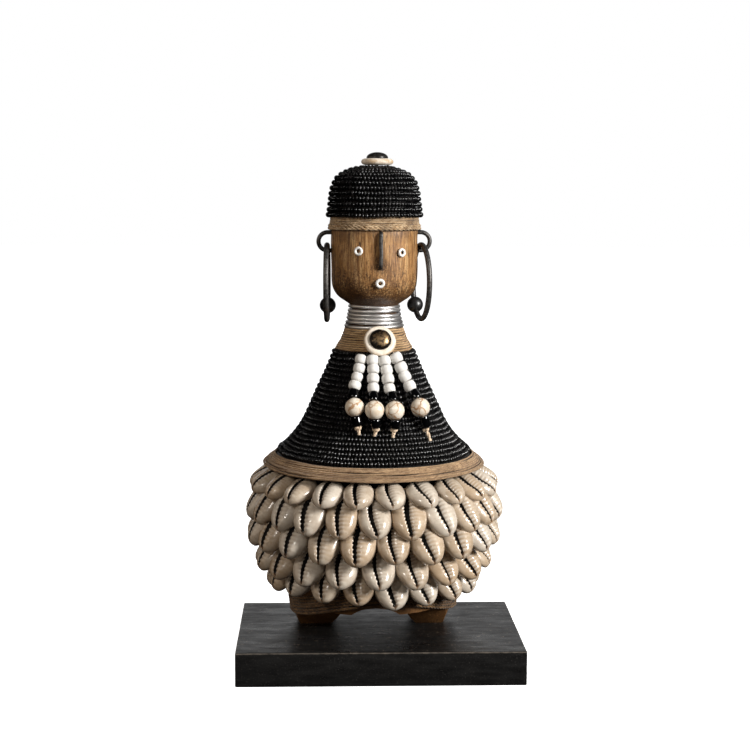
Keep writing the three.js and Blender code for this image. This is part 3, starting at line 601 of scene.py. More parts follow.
JUTE_COLLAR = jute("jute_collar", (0.170, 0.088, 0.034), (0.450, 0.272, 0.122), (0.760, 0.530, 0.290))
JUTE_BRIM = jute("jute_brim", (0.080, 0.038, 0.015), (0.310, 0.182, 0.088), (0.690, 0.475, 0.270),
                 soil=0.35, groove_shade=0.30)
JUTE_BAND = jute("jute_band", (0.050, 0.019, 0.005), (0.400, 0.225, 0.088), (1.000, 0.780, 0.510),
                 soil=0.70)
JUTE_HEM = jute("jute_hem", (0.018, 0.007, 0.002), (0.105, 0.049, 0.015), (0.350, 0.195, 0.068), soil=0.5)
SEED = black_glass("seed_glass", 0.27)
CAP_SEED = black_glass("seed_glass_cap", 0.23, specular=0.52)
BLACK = black_glass("black_glass", 0.08)
DULL = black_glass("dull_black", 0.34)
IRON = dark_iron()
WHITE = white_glass()
COTTON = cotton()
BONE = bone()
STONE = veined_stone()
SHELL = cowrie_shell()


# Bead strands, each on its own cord
THREAD = 0.4
WHITE_RADIUS = 3.25
BLACK_RADIUS = 2.8
BALL = 5.1
# How far a black bead's end sinks into the round of the stone ball
SUNK = 0.55
# Angle, height and radius of the first and last white beads, the stone ball, the knot and the tail's end
ROUTES = [
    [(-22.5, 148.6, 27.9), (-25.6, 135.3, 33.4),
     (-22.9, 124.6, 39.8), (-19.4, 114, 41.9), (-18.6, 110.6, 42.3)],
    [(-9.2, 148.4, 28), (-8.9, 134.3, 33.9),
     (-7.7, 123.5, 40.7), (-6.5, 113.4, 41.9), (-7.7, 110, 42.5)],
    [(3.4, 148, 28.2), (6, 134, 34),
     (7.4, 123.1, 40.9), (6.5, 112.9, 42.1), (5.4, 109.2, 43.2)],
    [(17, 149.3, 27.6), (26.3, 134.8, 33.6),
     (29.2, 123.8, 40.5), (32.5, 112.2, 42.6), (33.1, 106.2, 45.6)],
]


def barrel(radius, length, end, squareness):
    """Profile of a barrel bead about +Z, from its bore's lower end round to its upper end."""
    bore = 0.85
    lip = 0.10 * length
    outside = [
        (radius * (1 - (1 - end) * abs(t) ** squareness), t * length / 2 * (1 - 0.10 * abs(t) ** 8))
        for t in np.linspace(-1, 1, 11)
    ]
    return [(bore, lip - length / 2), *outside, (bore, length / 2 - lip)]


def ball_profile(radius, limit, steps, bore, lip):
    """Profile of a round bead about +Z, from its bore's lower end round to its upper end."""
    round_it = [(radius * math.cos(t), radius * math.sin(t)) for t in np.linspace(-limit, limit, steps)]
    return [(bore, round_it[0][1] + lip), *round_it, (bore, round_it[-1][1] - lip)]


def bead(shape, profile, centre, axis, sides, tone=0.0, squash=0.0):
    """Add a turned bead to a shape; a squashed one is oval, to any side."""
    points, faces = lathe(profile, sides)
    if squash:
        points = points * [1 + squash, 1 - squash, 1] @ about_z(rng.uniform(0, 2 * np.pi)).T
    return shape.add(aimed(points, centre, axis), faces, tone=tone)


def knot_shape(knot, tail):
    """An overhand knot with a short tail of two plies."""
    drop = unit(tail - knot)
    flat = unit(np.cross(drop, [0.3, 1.0, 0.1]))
    deep = np.cross(drop, flat)
    turn = np.linspace(0, 2 * np.pi, 61)[:, None]
    trefoil = (
        (np.sin(turn) + 2 * np.sin(2 * turn)) * flat
        + (np.cos(turn) - 2 * np.cos(2 * turn)) * deep
        - 1.2 * np.sin(3 * turn) * drop
    )
    loop = knot + 0.46 * trefoil
    shape = Shape().add_tube(loop, unit(loop - knot + 1e-6), 0.68, 10, twist=5.0, loop=True)
    stem = catmull([knot, knot * 0.6 + tail * 0.4, tail], 14)
    reach = np.linspace(0, 1, len(stem))
    for phase in (0, np.pi):
        swing = phase + 5.5 * reach
        ply = stem + 0.44 * (np.cos(swing)[:, None] * flat + np.sin(swing)[:, None] * deep)
        shape.add_tube(ply, flat, 0.50 * (1 + 0.25 * reach), 8, twist=5.0)
    return shape


def strand(number, route):
    """A thread with four white barrels, a black bead, a stone ball, a black bead and a knot."""
    body = f"strand_{number}"
    first, last, ball, knot, tail = (around(r, z, math.radians(a)) for a, z, r in route)
    along = unit(last - first)
    step = np.linalg.norm(last - first) / 3
    top, end = first - along * step / 2, last + along * step / 2
    axis = unit(unit(knot - ball) + unit(ball - end))
    ball_top, ball_end = ball - axis * BALL, ball + axis * BALL
    leaving = top - along * 2 * GAP
    between = top + along * 2 * step
    line = catmull([leaving, first, between, last, end, ball_top, ball, ball_end, knot, tail], 4)
    side = unit(np.cross(unit(np.gradient(line, axis=0)), [0, 0, 1.0]))
    thread = Shape().add_tube(line, side, THREAD, 12, twist=4.0)
    thread = thread.build(f"thread_{number}", COTTON, body, "bead_thread", f"{body}_thread")
    tie = knot_shape(knot, tail).build(f"knot_{number}", COTTON, body, "bead_thread")

    whites = Shape()
    for k in range(4):
        lean = unit(along + rng.normal(0, 0.06, 3))
        radius = WHITE_RADIUS * (1 + rng.uniform(-0.05, 0.05))
        own = step * (1.09 + rng.uniform(-0.02, 0.03))
        centre = first + along * step * k + rng.normal(0, 0.12, 3)
        bead(whites, barrel(radius, own, 0.68, 2.8), centre, lean, 28, 0.2, rng.uniform(0, 0.03))
    whites = whites.build(f"white_barrels_{number}", WHITE, body, "white_glass", f"{body}_white_beads")

    def black_bead(place, length, centre, axis):
        made = bead(Shape(), barrel(BLACK_RADIUS, length, 0.80, 3.4), centre, axis, 28)
        node = f"{body}_black_bead_{place}"
        return made.build(f"black_bead_{place}_{number}", BLACK, body, "black_glass", node)

    meet = ball_top + axis * SUNK
    upper = black_bead("upper", np.linalg.norm(meet - end) * 1.1, (end + meet) / 2, meet - end)
    leave = ball_end - axis * SUNK
    down = unit(knot - leave)
    span = np.linalg.norm(knot - leave) - 0.9
    lower = black_bead("lower", span * 1.1, leave + down * span / 2, down)
    stone = ball_profile(BALL, np.pi / 2 - math.asin(0.95 / BALL), 25, 0.8, 0.7)
    stone = bead(Shape(), stone, ball, axis, 40)
    stone = stone.build(f"stone_ball_{number}", STONE, body, "veined_stone", f"{body}_stone_ball")


for number, route in enumerate(ROUTES, 1):
    strand(number, route)


# Windings of seed beads, jute and wire

# Shares of a turn that run level, and that step up to the next row
LEVEL_SHARE = 0.86
STEP_SHARE = 0.14
# A ply's distance from its cord's middle, its radius and the length of its turn, in radii of the cord
PLY_OUT = 0.48
PLY_RADIUS = 0.60
PLY_LAY = 9.0


def wound(outline, rows, steps, start, lift=0.0, wander=0.0, phase=0.0, sag=0.0, waves=(2, 5, 9)):
    """Centres, outward normals and angles of a cord wound upwards in level rows.

    Each row runs level for most of its turn and then steps up. lift raises the cord in front and behind,
    wander sways it by waves round the turn, and sag lowers the lower rows in front.
    """
    lap = np.arange(int(rows * steps) + 1) / steps
    row = np.minimum(np.floor(lap), rows - 1)
    climb = np.clip((lap - row - LEVEL_SHARE) / STEP_SHARE, 0, 1)
    share = np.minimum(row + climb * climb * (3 - 2 * climb), rows - 1) / (rows - 1)
    angle = start + 2 * np.pi * lap
    point, normal = outline.at(share), outline.normal(share)
    sway = wander * (
        0.5 * np.sin(waves[0] * angle + 9 * share + phase)
        + 0.3 * np.sin(waves[1] * angle + 17 * share + 2 * phase)
        + 0.2 * np.sin(waves[2] * angle + 23 * share)
    )
    rise = lift * np.cos(angle) ** 2 + sway - sag * (1 - share) * np.clip(np.cos(angle), 0, 1)
    centres = around(point[:, 0], point[:, 1] + rise, angle)
    return centres, around(normal[:, 0], normal[:, 1], angle), angle


def threaded(centres, normals, spacing):
    """Beads of uneven lengths touching along a line: middles, tangents, normals and lengths."""
    lengths = distances(centres)
    count = int(round(lengths[-1] / spacing))
    own = np.clip(1 + rng.normal(0, 0.07, count), 0.6, 1.5)
    own *= lengths[-1] / own.sum()
    at = np.cumsum(own) - own / 2
    points, outs = (
        np.stack([np.interp(at, lengths, line[:, k]) for k in range(3)], -1)
        for line in (centres, normals)
    )
    return points, unit(np.gradient(points, axis=0)), unit(outs), own


# A seed bead's rings: place along its length, and share of its radius
SEED_RINGS = [(-0.46, 0.42), (-0.27, 0.83), (0.0, 1.0), (0.27, 0.83), (0.46, 0.42)]


def seed_row(name, outline, rows, radius, spacing, node, wander, sides, glass, droop=None):
    """One strand of seed beads wound upwards, each bead with its own size and lean."""
    centres, normals, angle = wound(outline, rows, 160, math.pi, wander=wander)
    if droop is not None:
        centres = centres + droop(centres, angle)
    points, tangents, outs, length = threaded(centres, normals, spacing)
    count = len(points)
    size = radius * (1 + rng.normal(0, 0.05, count))
    tangents = unit(tangents + rng.normal(0, 0.08, (count, 3)))
    across = unit(np.cross(tangents, outs))
    outs = np.cross(across, tangents)
    points = points + outs * rng.normal(0, 0.07, (count, 1)) + across * rng.normal(0, 0.05, (count, 1))
    turn = 2 * np.pi * (np.arange(sides)[:, None] + 0.5) / sides
    spoke = outs[:, None] * np.cos(turn) + across[:, None] * np.sin(turn)
    rings = [
        (points + tangents * (length * along)[:, None])[:, None] + (size * wide)[:, None, None] * spoke
        for along, wide in SEED_RINGS
    ]
    reach = tangents * length[:, None] * 0.40
    ends = np.stack([points - reach, points + reach], 1)
    vertices = np.concatenate([*rings, ends], 1)
    total = vertices.shape[1]
    offset = (np.arange(count) * total)[:, None, None]
    faces = [
        (group + offset).reshape(-1, group.shape[1])
        for group in (grid_faces(len(SEED_RINGS), sides), end_fans(total - 2, sides))
    ]
    tone = np.repeat(rng.uniform(0, 1, count) ** 2.5, total)
    return Shape().add(vertices, *faces, tone=tone).build(name, glass, "doll", "black_glass", node)


def hem_droop(centres, angle):
    """The lowest rows sag a little on the figure's right."""
    low = np.clip(1 - (centres[:, 2] - 96) / 6, 0, 1)
    beside = np.angle(np.exp(1j * (angle - math.radians(42))))
    return np.stack([0 * low, 0 * low, -0.8 * low * np.exp(-(beside / 0.22) ** 2)], -1)


def drift(count, every, draw):
    """A value for each ring of a cord, drawn at every so many rings and run evenly between."""
    knots = np.arange(0, count + every, every)
    return np.interp(np.arange(count), knots, draw(len(knots)))


def wound_cord(name, outline, rows, radius, start, material, slot, *nodes,
               steps=150, sides=8, plies=1, rough=0.06, **path):
    """A cord wound upwards: one tube, or a few plies twisted round each other."""
    centres, normals, _ = wound(outline, rows, steps, start, phase=rows, **path)
    of_row = rng.uniform(0, 1, rows + 1)
    count = len(centres)
    across = np.cross(unit(np.gradient(centres, axis=0)), normals)
    lengths = distances(centres)
    spread, own_radius = (0.0, radius) if plies == 1 else (PLY_OUT * radius, PLY_RADIUS * radius)
    shape = Shape()
    for ply in range(plies):
        swing = 2 * np.pi * ply / plies + lengths * 2 * np.pi / (PLY_LAY * radius)
        line = centres + spread * (np.cos(swing)[:, None] * normals + np.sin(swing)[:, None] * across)
        soft = drift(count, 5, lambda n: rng.normal(0, rough, n))
        points, faces, run = tube(line, normals, own_radius * (1 + soft), sides, twist=0.5 / radius)
        # Painted shade: how far each vertex faces into the grooves between turns, which the jute materials
        # darken
        off_centre = points[:-2].reshape(count, sides, 3) - centres[:, None]
        rise = np.einsum("nsk,nk->ns", off_centre, normals).ravel() / radius
        painted_groove_shade = np.clip((0.80 - rise) / 0.85, 0, 1)
        shade = with_ends(np.stack([painted_groove_shade, 0 * painted_groove_shade, 0 * painted_groove_shade], -1))
        along = drift(count, 40, lambda n: rng.uniform(0, 1, n))
        tone = np.repeat(0.5 * along + 0.5 * of_row[np.arange(count) // steps], sides)
        shape.add(points, *faces, tone=with_ends(tone), run=run, shade=shade)
    return shape.build(name, material, "doll", slot, *nodes)


seed_row("seed_beads_robe", robe_line, 22, 1.46, 1.95, "robe_beads", 0.30, 7, SEED, hem_droop)
seed_row("seed_beads_cap", cap_line, 13, 1.42, 1.9, "cap_beads", 0.25, 10, CAP_SEED)
wound_cord("jute_collar_cord", collar_line, 10, 0.62, 0.58 * math.pi, JUTE_COLLAR, "jute", "collar_cord",
           wander=0.22)
wound_cord("jute_brim_cord", brim_line, 8, 0.58, math.pi, JUTE_BRIM, "jute", "brim_cord",
           steps=240, rough=0.10, wander=0.34, sag=1.1)
wound_cord("jute_hem_cord", hem_line, 6, 0.85, math.pi / 2, JUTE_HEM, "jute", "hem_cord",
           steps=420, sides=7, plies=3, lift=12, wander=0.25)
wound_cord("jute_headband_roll", band_low, 2, 0.90, math.pi, JUTE_BAND, "jute", "headband_cord",
           steps=260, sides=7, plies=3, wander=0.10)
wound_cord("jute_headband_cord", band_high, 5, 0.46, math.pi, JUTE_BAND, "jute", steps=200, wander=0.14)
wound_cord("bright_neck_wire", neck_line, 6, 0.94, math.pi, bright_wire(), "aluminium_wire", "neck_wire",
           steps=110, sides=16, rough=0.0, wander=0.34, waves=(1, 2, 3))


# Carved figure
HEM_CORE = 43.1
SKIRT_OUT = 11.9
FACE = 40.4
FOOT_SPREAD = 2.4
# Outlines as (out, up), in shares of the sizes above
SKIRT_SHAPE = [
    (0, .08), (.06, .32), (.3, .41), (.63, .48), (.94, .59),
    (1, .7), (.93, .81), (.66, .857), (.45, .89), (.41, .94),
]
JAW_SHAPE = [
    (.57, 0), (.665, .04), (.775, .082), (.85, .12), (.91, .165),
    (.965, .235), (.99, .32), (1, .5), (1, .985),
]
skirt_wood = [(HEM_CORE + SKIRT_OUT * out, LEG + SKIRT * up) for out, up in SKIRT_SHAPE]
jaw = [(HEAD * out, CHIN + FACE * up) for out, up in JAW_SHAPE]


def radius_at(outline, height):
    return float(np.interp(height, [z for _, z in outline], [r for r, _ in outline]))


def under(outline, depth, shares):
    """Points of the wood at a depth under a winding's centre line, at shares of its length."""
    return outline.at(shares) - outline.normal(shares) * depth


def turned_figure():
    """Vertices and faces of the figure before its feet are cut, with the faint waves of a knife."""
    whole = np.array([0, 0.5, 1])
    profile = np.concatenate([
        [(0.01, 0.0), (38.8, 0.0), (39.6, 0.6), (HEM_CORE - 0.5, 7.5)],
        skirt_wood,
        under(brim_line, 2.3, whole),
        under(brim_line, 1.0, whole),
        under(robe_line, 2.0, np.linspace(0.04, 0.99, 24)),
        under(collar_line, 1.1, np.linspace(0, 1, 6)),
        under(neck_line, 1.35, np.linspace(0.02, 1, 10)),
        catmull(jaw, 7),
        under(band_line, 1.3, whole),
        under(cap_line, 2.0, np.linspace(0.05, 0.97, 16)),
        [(0.01, CROWN_LEVEL - 3.6)],
    ])
    sides = 128
    points, faces = lathe(profile, sides, closed=False)
    x, y, z = points.T
    angle = np.arctan2(x, y)
    waves = 0.10 * np.sin(5 * angle + z * 0.16) + 0.07 * np.sin(11 * angle - z * 0.31)
    radius = np.maximum(np.hypot(x, y), 1)
    points[:, :2] *= (1 + (waves - 0.12) / radius * (radius > 5))[:, None]
    # The left foot reaches further out
    low = np.clip((LEG - points[:, 2]) / 3, 0, 1)
    points[:, 0] -= FOOT_SPREAD * low * np.clip(-points[:, 0] / 38, 0, 1)
    bottom, top = list(range(sides))[::-1], list(range(len(points) - sides, len(points)))
    return points, [*faces.tolist(), bottom, top]


def solid(name, points, faces):
    mesh = bpy.data.meshes.new(name)
    mesh.from_pydata(points.tolist(), [], faces)
    mesh.update()
    made = bpy.data.objects.new(name, mesh)
    bpy.context.scene.collection.objects.link(made)
    return made


def cutter(name, outline, axis):
    """A prism along x or y of the part from an upright outline, longer than the figure is wide."""
    n = len(outline)
    ends = [(a, depth, z) if axis == "y" else (depth, a, z) for depth in (-130, 130) for a, z in outline]
    sides = [[i, (i + 1) % n, n + (i + 1) % n, n + i] for i in range(n)]
    faces = [*sides, list(range(n))[::-1], list(range(n, 2 * n))]
    made = solid(name, np.array(ends) @ about_z(-FIGURE_TURN).T, faces)
    clean = bmesh.new()
    clean.from_mesh(made.data)
    bmesh.ops.recalc_face_normals(clean, faces=clean.faces)
    clean.to_mesh(made.data)
    clean.free()
    return made


def carved_figure():
    """The turned figure with the arch cut between its feet, and the wood behind and before them."""
    rough = solid("rough_figure", *turned_figure())
    arch = catmull([(0, 17.5), (7, 16.6), (13.2, 13.2), (17.4, 8.2), (20.4, 3.6), (23.5, 0)], 4)
    arch = [(-27, -5), *(arch[:0:-1] * [-1, 1]), *arch, (27, -5)]
    cutters = [
        cutter("arch", arch, "y"),
        cutter("behind_feet", [(9, -5), (90, -5), (90, LEG), (20, LEG), (9, 0)], "x"),
        cutter("before_feet", [(-9, -5), (-9, 0), (-20, LEG), (-90, LEG), (-90, -5)], "x"),
    ]
    for tool in cutters:
        cut = rough.modifiers.new(tool.name, "BOOLEAN")
        cut.operation, cut.solver, cut.object = "DIFFERENCE", "EXACT", tool
    bevel = rough.modifiers.new("edges", "BEVEL")
    bevel.width, bevel.segments, bevel.angle_limit = 0.7, 2, math.radians(32)
    bpy.context.view_layer.update()
    mesh = bpy.data.meshes.new_from_object(rough.evaluated_get(bpy.context.evaluated_depsgraph_get()))
    for done in (rough, *cutters):
        bpy.data.objects.remove(done)
    coordinates = np.empty(len(mesh.vertices) * 3)
    mesh.vertices.foreach_get("co", coordinates)
    mesh.vertices.foreach_set("co", to_part(coordinates.reshape(-1, 3)).ravel())
    mesh.polygons.foreach_set("use_smooth", [True] * len(mesh.polygons))
    mesh.update()
    mesh.set_sharp_from_angle(angle=math.radians(38))
    place_piece("figure_wood", mesh, carved_wood(), "doll", "carved_wood", ["carved_figure"])


carved_figure()


# Face: nose bar and ring beads
def iron_wire(name, spots, normal, radius, sides, body, node):
    return Shape().add_tube(spots, normal, radius, sides).build(name, IRON, body, "iron_wire", node)


NOSE = 1.05
NOSE_BEND = 2.0
# How deep ends of wire reach into the wood
ROOT = 6


def fillet(before, corner, after):
    a = corner + unit(before - corner) * NOSE_BEND
    b = corner + unit(after - corner) * NOSE_BEND
    t = np.linspace(0, 1, 7)[:, None]
    return (1 - t) ** 2 * a + 2 * t * (1 - t) * corner + t ** 2 * b


def nose_bar():
    high = BAND_LEVEL - GAP - NOSE
    low = high - 20.6 + 2 * NOSE
    out = HEAD + GAP + NOSE
    deep = HEAD - ROOT
    a, b, c, d = (around(r, z, 0.0) for r, z in ((deep, high), (out, high), (out, low), (deep, low)))
    straight = np.linspace(b - [0, 0, NOSE_BEND], c + [0, 0, NOSE_BEND], 16)[1:-1]
    spots = np.concatenate([[a], fillet(a, b, c), straight, fillet(b, c, d), [d]])
    spots[:, 0] += 0.12 * np.sin(spots[:, 2] * 0.5)
    iron_wire("iron_nose_bar", spots, [1.0, 0, 0], NOSE * 1.06, 16, "doll", "nose_bar")


def face_bead(name, node, radius, height, angle, dip):
    """A ring bead on the face, its opening outwards and dipped by some degrees."""
    half, bore = 0.8, 1.0
    middle, width = (radius + bore) / 2, (radius - bore) / 2
    profile = [
        (middle + width * math.cos(t) * (1 - 0.06 * math.sin(t) ** 2), half * math.sin(t))
        for t in np.linspace(0, 2 * np.pi, 28, endpoint=False)
    ]
    seat = radius_at(jaw, height) + GAP + half + radius * 0.04 - 0.25
    angle, dip = math.radians(angle), math.radians(dip)
    outward = around(math.cos(dip), -math.sin(dip), angle)
    made = bead(Shape(), profile, around(seat, height, angle), outward, 36)
    made.build(name, WHITE, "doll", "white_glass", node)


nose_bar()
face_bead("eye_ring_left", "eye_bead_left", 2.42, CHIN + 29.6, -28.3, 0)
face_bead("eye_ring_right", "eye_bead_right", 2.38, CHIN + 28.8, 28.3, 0)
face_bead("mouth_ring", "mouth_bead", 2.58, CHIN + 12.6, -0.8, 8)

# Ear wires, hoops and the beads that close them
EAR = 1.1
LOOP = 4.9
HOOP = 1.5
HALF_WIDTH = 14.0
HALF_HEIGHT = 20.2
HOOP_BEAD = 4.45
HOOP_YAW = 9
BEAD_ANGLE = math.radians(222)
ear_x = HEAD + 2
ear_z = BAND_LEVEL - GAP - 2 * EAR - LOOP + EAR
hoop_x = ear_x + 0.3
hoop_z = ear_z - LOOP + EAR + GAP + HOOP - HALF_HEIGHT
bead_span = HOOP_BEAD / math.hypot(HALF_WIDTH * math.sin(BEAD_ANGLE), HALF_HEIGHT * math.cos(BEAD_ANGLE))


def on_hoop(at):
    return np.stack([0 * at, -HALF_WIDTH * np.cos(at), HALF_HEIGHT * np.sin(at)], -1)


def ear(side, label):
    """The ear wire and the earring of one side, -1 for the left and 1 for the right."""
    turn = np.linspace(np.pi / 2, -np.pi / 2, 25)
    arc = np.stack([side * (ear_x + LOOP * np.cos(turn)), 0 * turn, ear_z + LOOP * np.sin(turn)], -1)
    root = side * (HEAD - ROOT)
    spots = np.concatenate([[[root, 0, ear_z + LOOP]], arc, [[root, 0, ear_z - LOOP]]])
    iron_wire(f"iron_ear_wire_{label}", spots, [0, 1.0, 0], EAR * 1.08, 16, "doll", f"ear_wire_{label}")

    spin = about_z(math.radians(side * HOOP_YAW))

    def hung(points):
        return points @ spin.T + [side * hoop_x, 0, hoop_z]

    body = f"earring_{label}"
    gap = 0.25 * bead_span
    ring = on_hoop(np.linspace(BEAD_ANGLE + gap, BEAD_ANGLE + 2 * np.pi - gap, 90))
    iron_wire(f"iron_hoop_{label}", hung(ring), spin @ [1.0, 0, 0], HOOP, 18, body, body)
    ends = on_hoop(BEAD_ANGLE + bead_span * np.array([1, -1]))
    bore = HOOP + 0.15
    half = math.sqrt(HOOP_BEAD ** 2 - (bore + 0.2) ** 2)
    points, faces = lathe(ball_profile(HOOP_BEAD, math.asin(half / HOOP_BEAD), 21, bore, 0.4), 36)
    closing = Shape().add(hung(aimed(points, ends.mean(0), ends[0] - ends[1])), faces, tone=0.8)
    closing.build(f"hoop_bead_{label}", DULL, body, "black_glass", f"earring_bead_{label}")


ear(-1, "left")
ear(1, "right")

# Bone rings and domed tacks
RING_HALF = 1.8
RING_OUTER = 8.7
RING_BORE = 2.4
TACK_RADIUS = 5.85


def bone_ring(label, centre, axis):
    middle, width = (RING_OUTER + RING_BORE) / 2, (RING_OUTER - RING_BORE) / 2
    outside = [
        (middle + width * abs(math.cos(t)) ** 0.75, RING_HALF * math.sin(t))
        for t in np.linspace(-np.pi / 2, np.pi / 2, 25)
    ]
    points, faces = lathe([(RING_BORE, -RING_HALF), *outside, (RING_BORE, RING_HALF)], 64)
    x, y, _ = points.T
    edge = np.clip(np.hypot(x, y) - RING_OUTER + 1.0, 0, 1)
    uneven = 1 + 0.008 * np.sin(3 * np.arctan2(x, y) + 1)
    points[:, :2] *= np.minimum(uneven, 1.0)[:, None]
    made = Shape().add(aimed(points, centre, axis), faces, tone=edge)
    made.build(f"bone_{label}_ring", BONE, "doll", "bone", f"{label}_ring")


def domed_tack(label, centre, axis, material, slot):
    """A tack through a bone ring: a shank from 13 mm below the ring's middle, and a dome on its top."""
    shank, seat = 0.6, RING_HALF + 0.05
    dome = [
        (TACK_RADIUS * math.cos(t), seat + 0.3 + 3.0 * math.sin(t))
        for t in np.linspace(0, np.pi / 2, 15)[:-1]
    ]
    profile = [
        (0.01, -13), (shank, -11), (shank, seat),
        (5.5, seat), (TACK_RADIUS, seat + 0.12), *dome, (0.01, seat + 3.3),
    ]
    points, faces = lathe(profile, 48, closed=False)
    x, y, z = points.T
    rim = np.where(z < seat, 1, np.clip(np.hypot(x, y) / TACK_RADIUS, 0, 1) ** 5)
    made = Shape().add(aimed(points, centre, axis), faces, tone=rim)
    made.build(f"{label}_domed_tack", material, "doll", slot, f"{label}_tack")


crown = np.array([1.4, 0, CROWN_LEVEL + GAP + RING_HALF]), (0, 0, 1)
bone_ring("crown", *crown)
domed_tack("crown", *crown, black_metal(), "black_metal")
brooch = around(21.68, 157.93, 0.0), around(0.8777, 0.4792, 0.0)
bone_ring("brooch", *brooch)
domed_tack("brooch", *brooch, antique_brass(), "antique_brass")


# Cowrie shells
COWRIE_LENGTH = 22.5
COWRIE_WIDTH = 18.0
COWRIE_DEPTH = 6.3
# Radius that the rows' tips are measured by, and how far past it they stand
ROW_RADIUS = 55
TIP_PAST = 0.9
# A carrier cord's height above a shell's middle in half lengths, its depth and the radius of its plies
CARRIER_UP = 0.68
CARRIER_IN = 0.6
CARRIER_PLY = 0.5
# Count, tip as (out, up), angle of the first shell in degrees, size, and rise at the left of the front
ROWS = [
    (22, (1.222, 0.756), 0.8, 0.92, 0.0),
    (22, (1.22, 0.561), -7.3, 1.02, 0.0),
    (21, (1.22, 0.396), 1.7, 1.02, 0.0),
    (19, (1.14, 0.226), -6.0, 1.02, 0.0),
    (18, (1.01, 0.079), 2.6, 1.0, 2.2),
]
# Levels of a shell's grid from its tip at -1 to its top at 1, and places left and right of its mouth
LEVELS = np.sin(np.linspace(-1, 1, 61) * np.pi / 2)[:, None]
ACROSS_LEFT = np.concatenate([np.linspace(0, 0.72, 8), [0.82, 0.90, 0.96]])
ACROSS_RIGHT = np.concatenate([[0.03, 0.07, 0.13], np.linspace(0.20, 1.0, 13)])


def lean_on_wood(tip, length):
    """The lean at which the top of a shell comes to rest on the skirt."""
    low, high = 0.0, math.pi / 2
    for _ in range(30):
        middle = (low + high) / 2
        wood = radius_at(skirt_wood, tip[1] + length * math.cos(middle))
        if tip[0] - length * math.sin(middle) > wood + 2 * GAP:
            low = middle
        else:
            high = middle
    return low


def mouth(v, half, dice):
    """A shell's mouth at levels v: its middle, its left and right edges, and the ridges of its teeth."""
    bow = -0.25 + dice.normal(0, 0.03)
    skew = dice.normal(0, 0.03)
    teeth = 11 + dice.integers(-1, 2)
    phase = dice.uniform(0, 2 * np.pi)
    slit = bow + 0.17 * np.clip(-v, 0, 1) ** 1.6 + 0.08 * np.clip(v, 0, 1) ** 2 + skew * v
    ridge = 0.5 + 0.5 * np.cos(np.pi * teeth * v + phase)
    opening = 0.105 + 0.085 * np.clip((v + 0.95) / 1.3, 0, 1) + 0.015 * dice.normal()
    tip_end = np.clip((v + 0.955) * 16, 0.10, 1) / np.clip(half, 0.45, 1)
    top_end = np.clip((1 - v) * 6, 0.12, 1)
    opening = np.clip(opening, 0.08, 0.23) * np.where(v < 0, tip_end, top_end)
    return slit, slit - opening * (0.92 - 0.36 * ridge), slit + opening * (0.85 - 0.22 * ridge), ridge


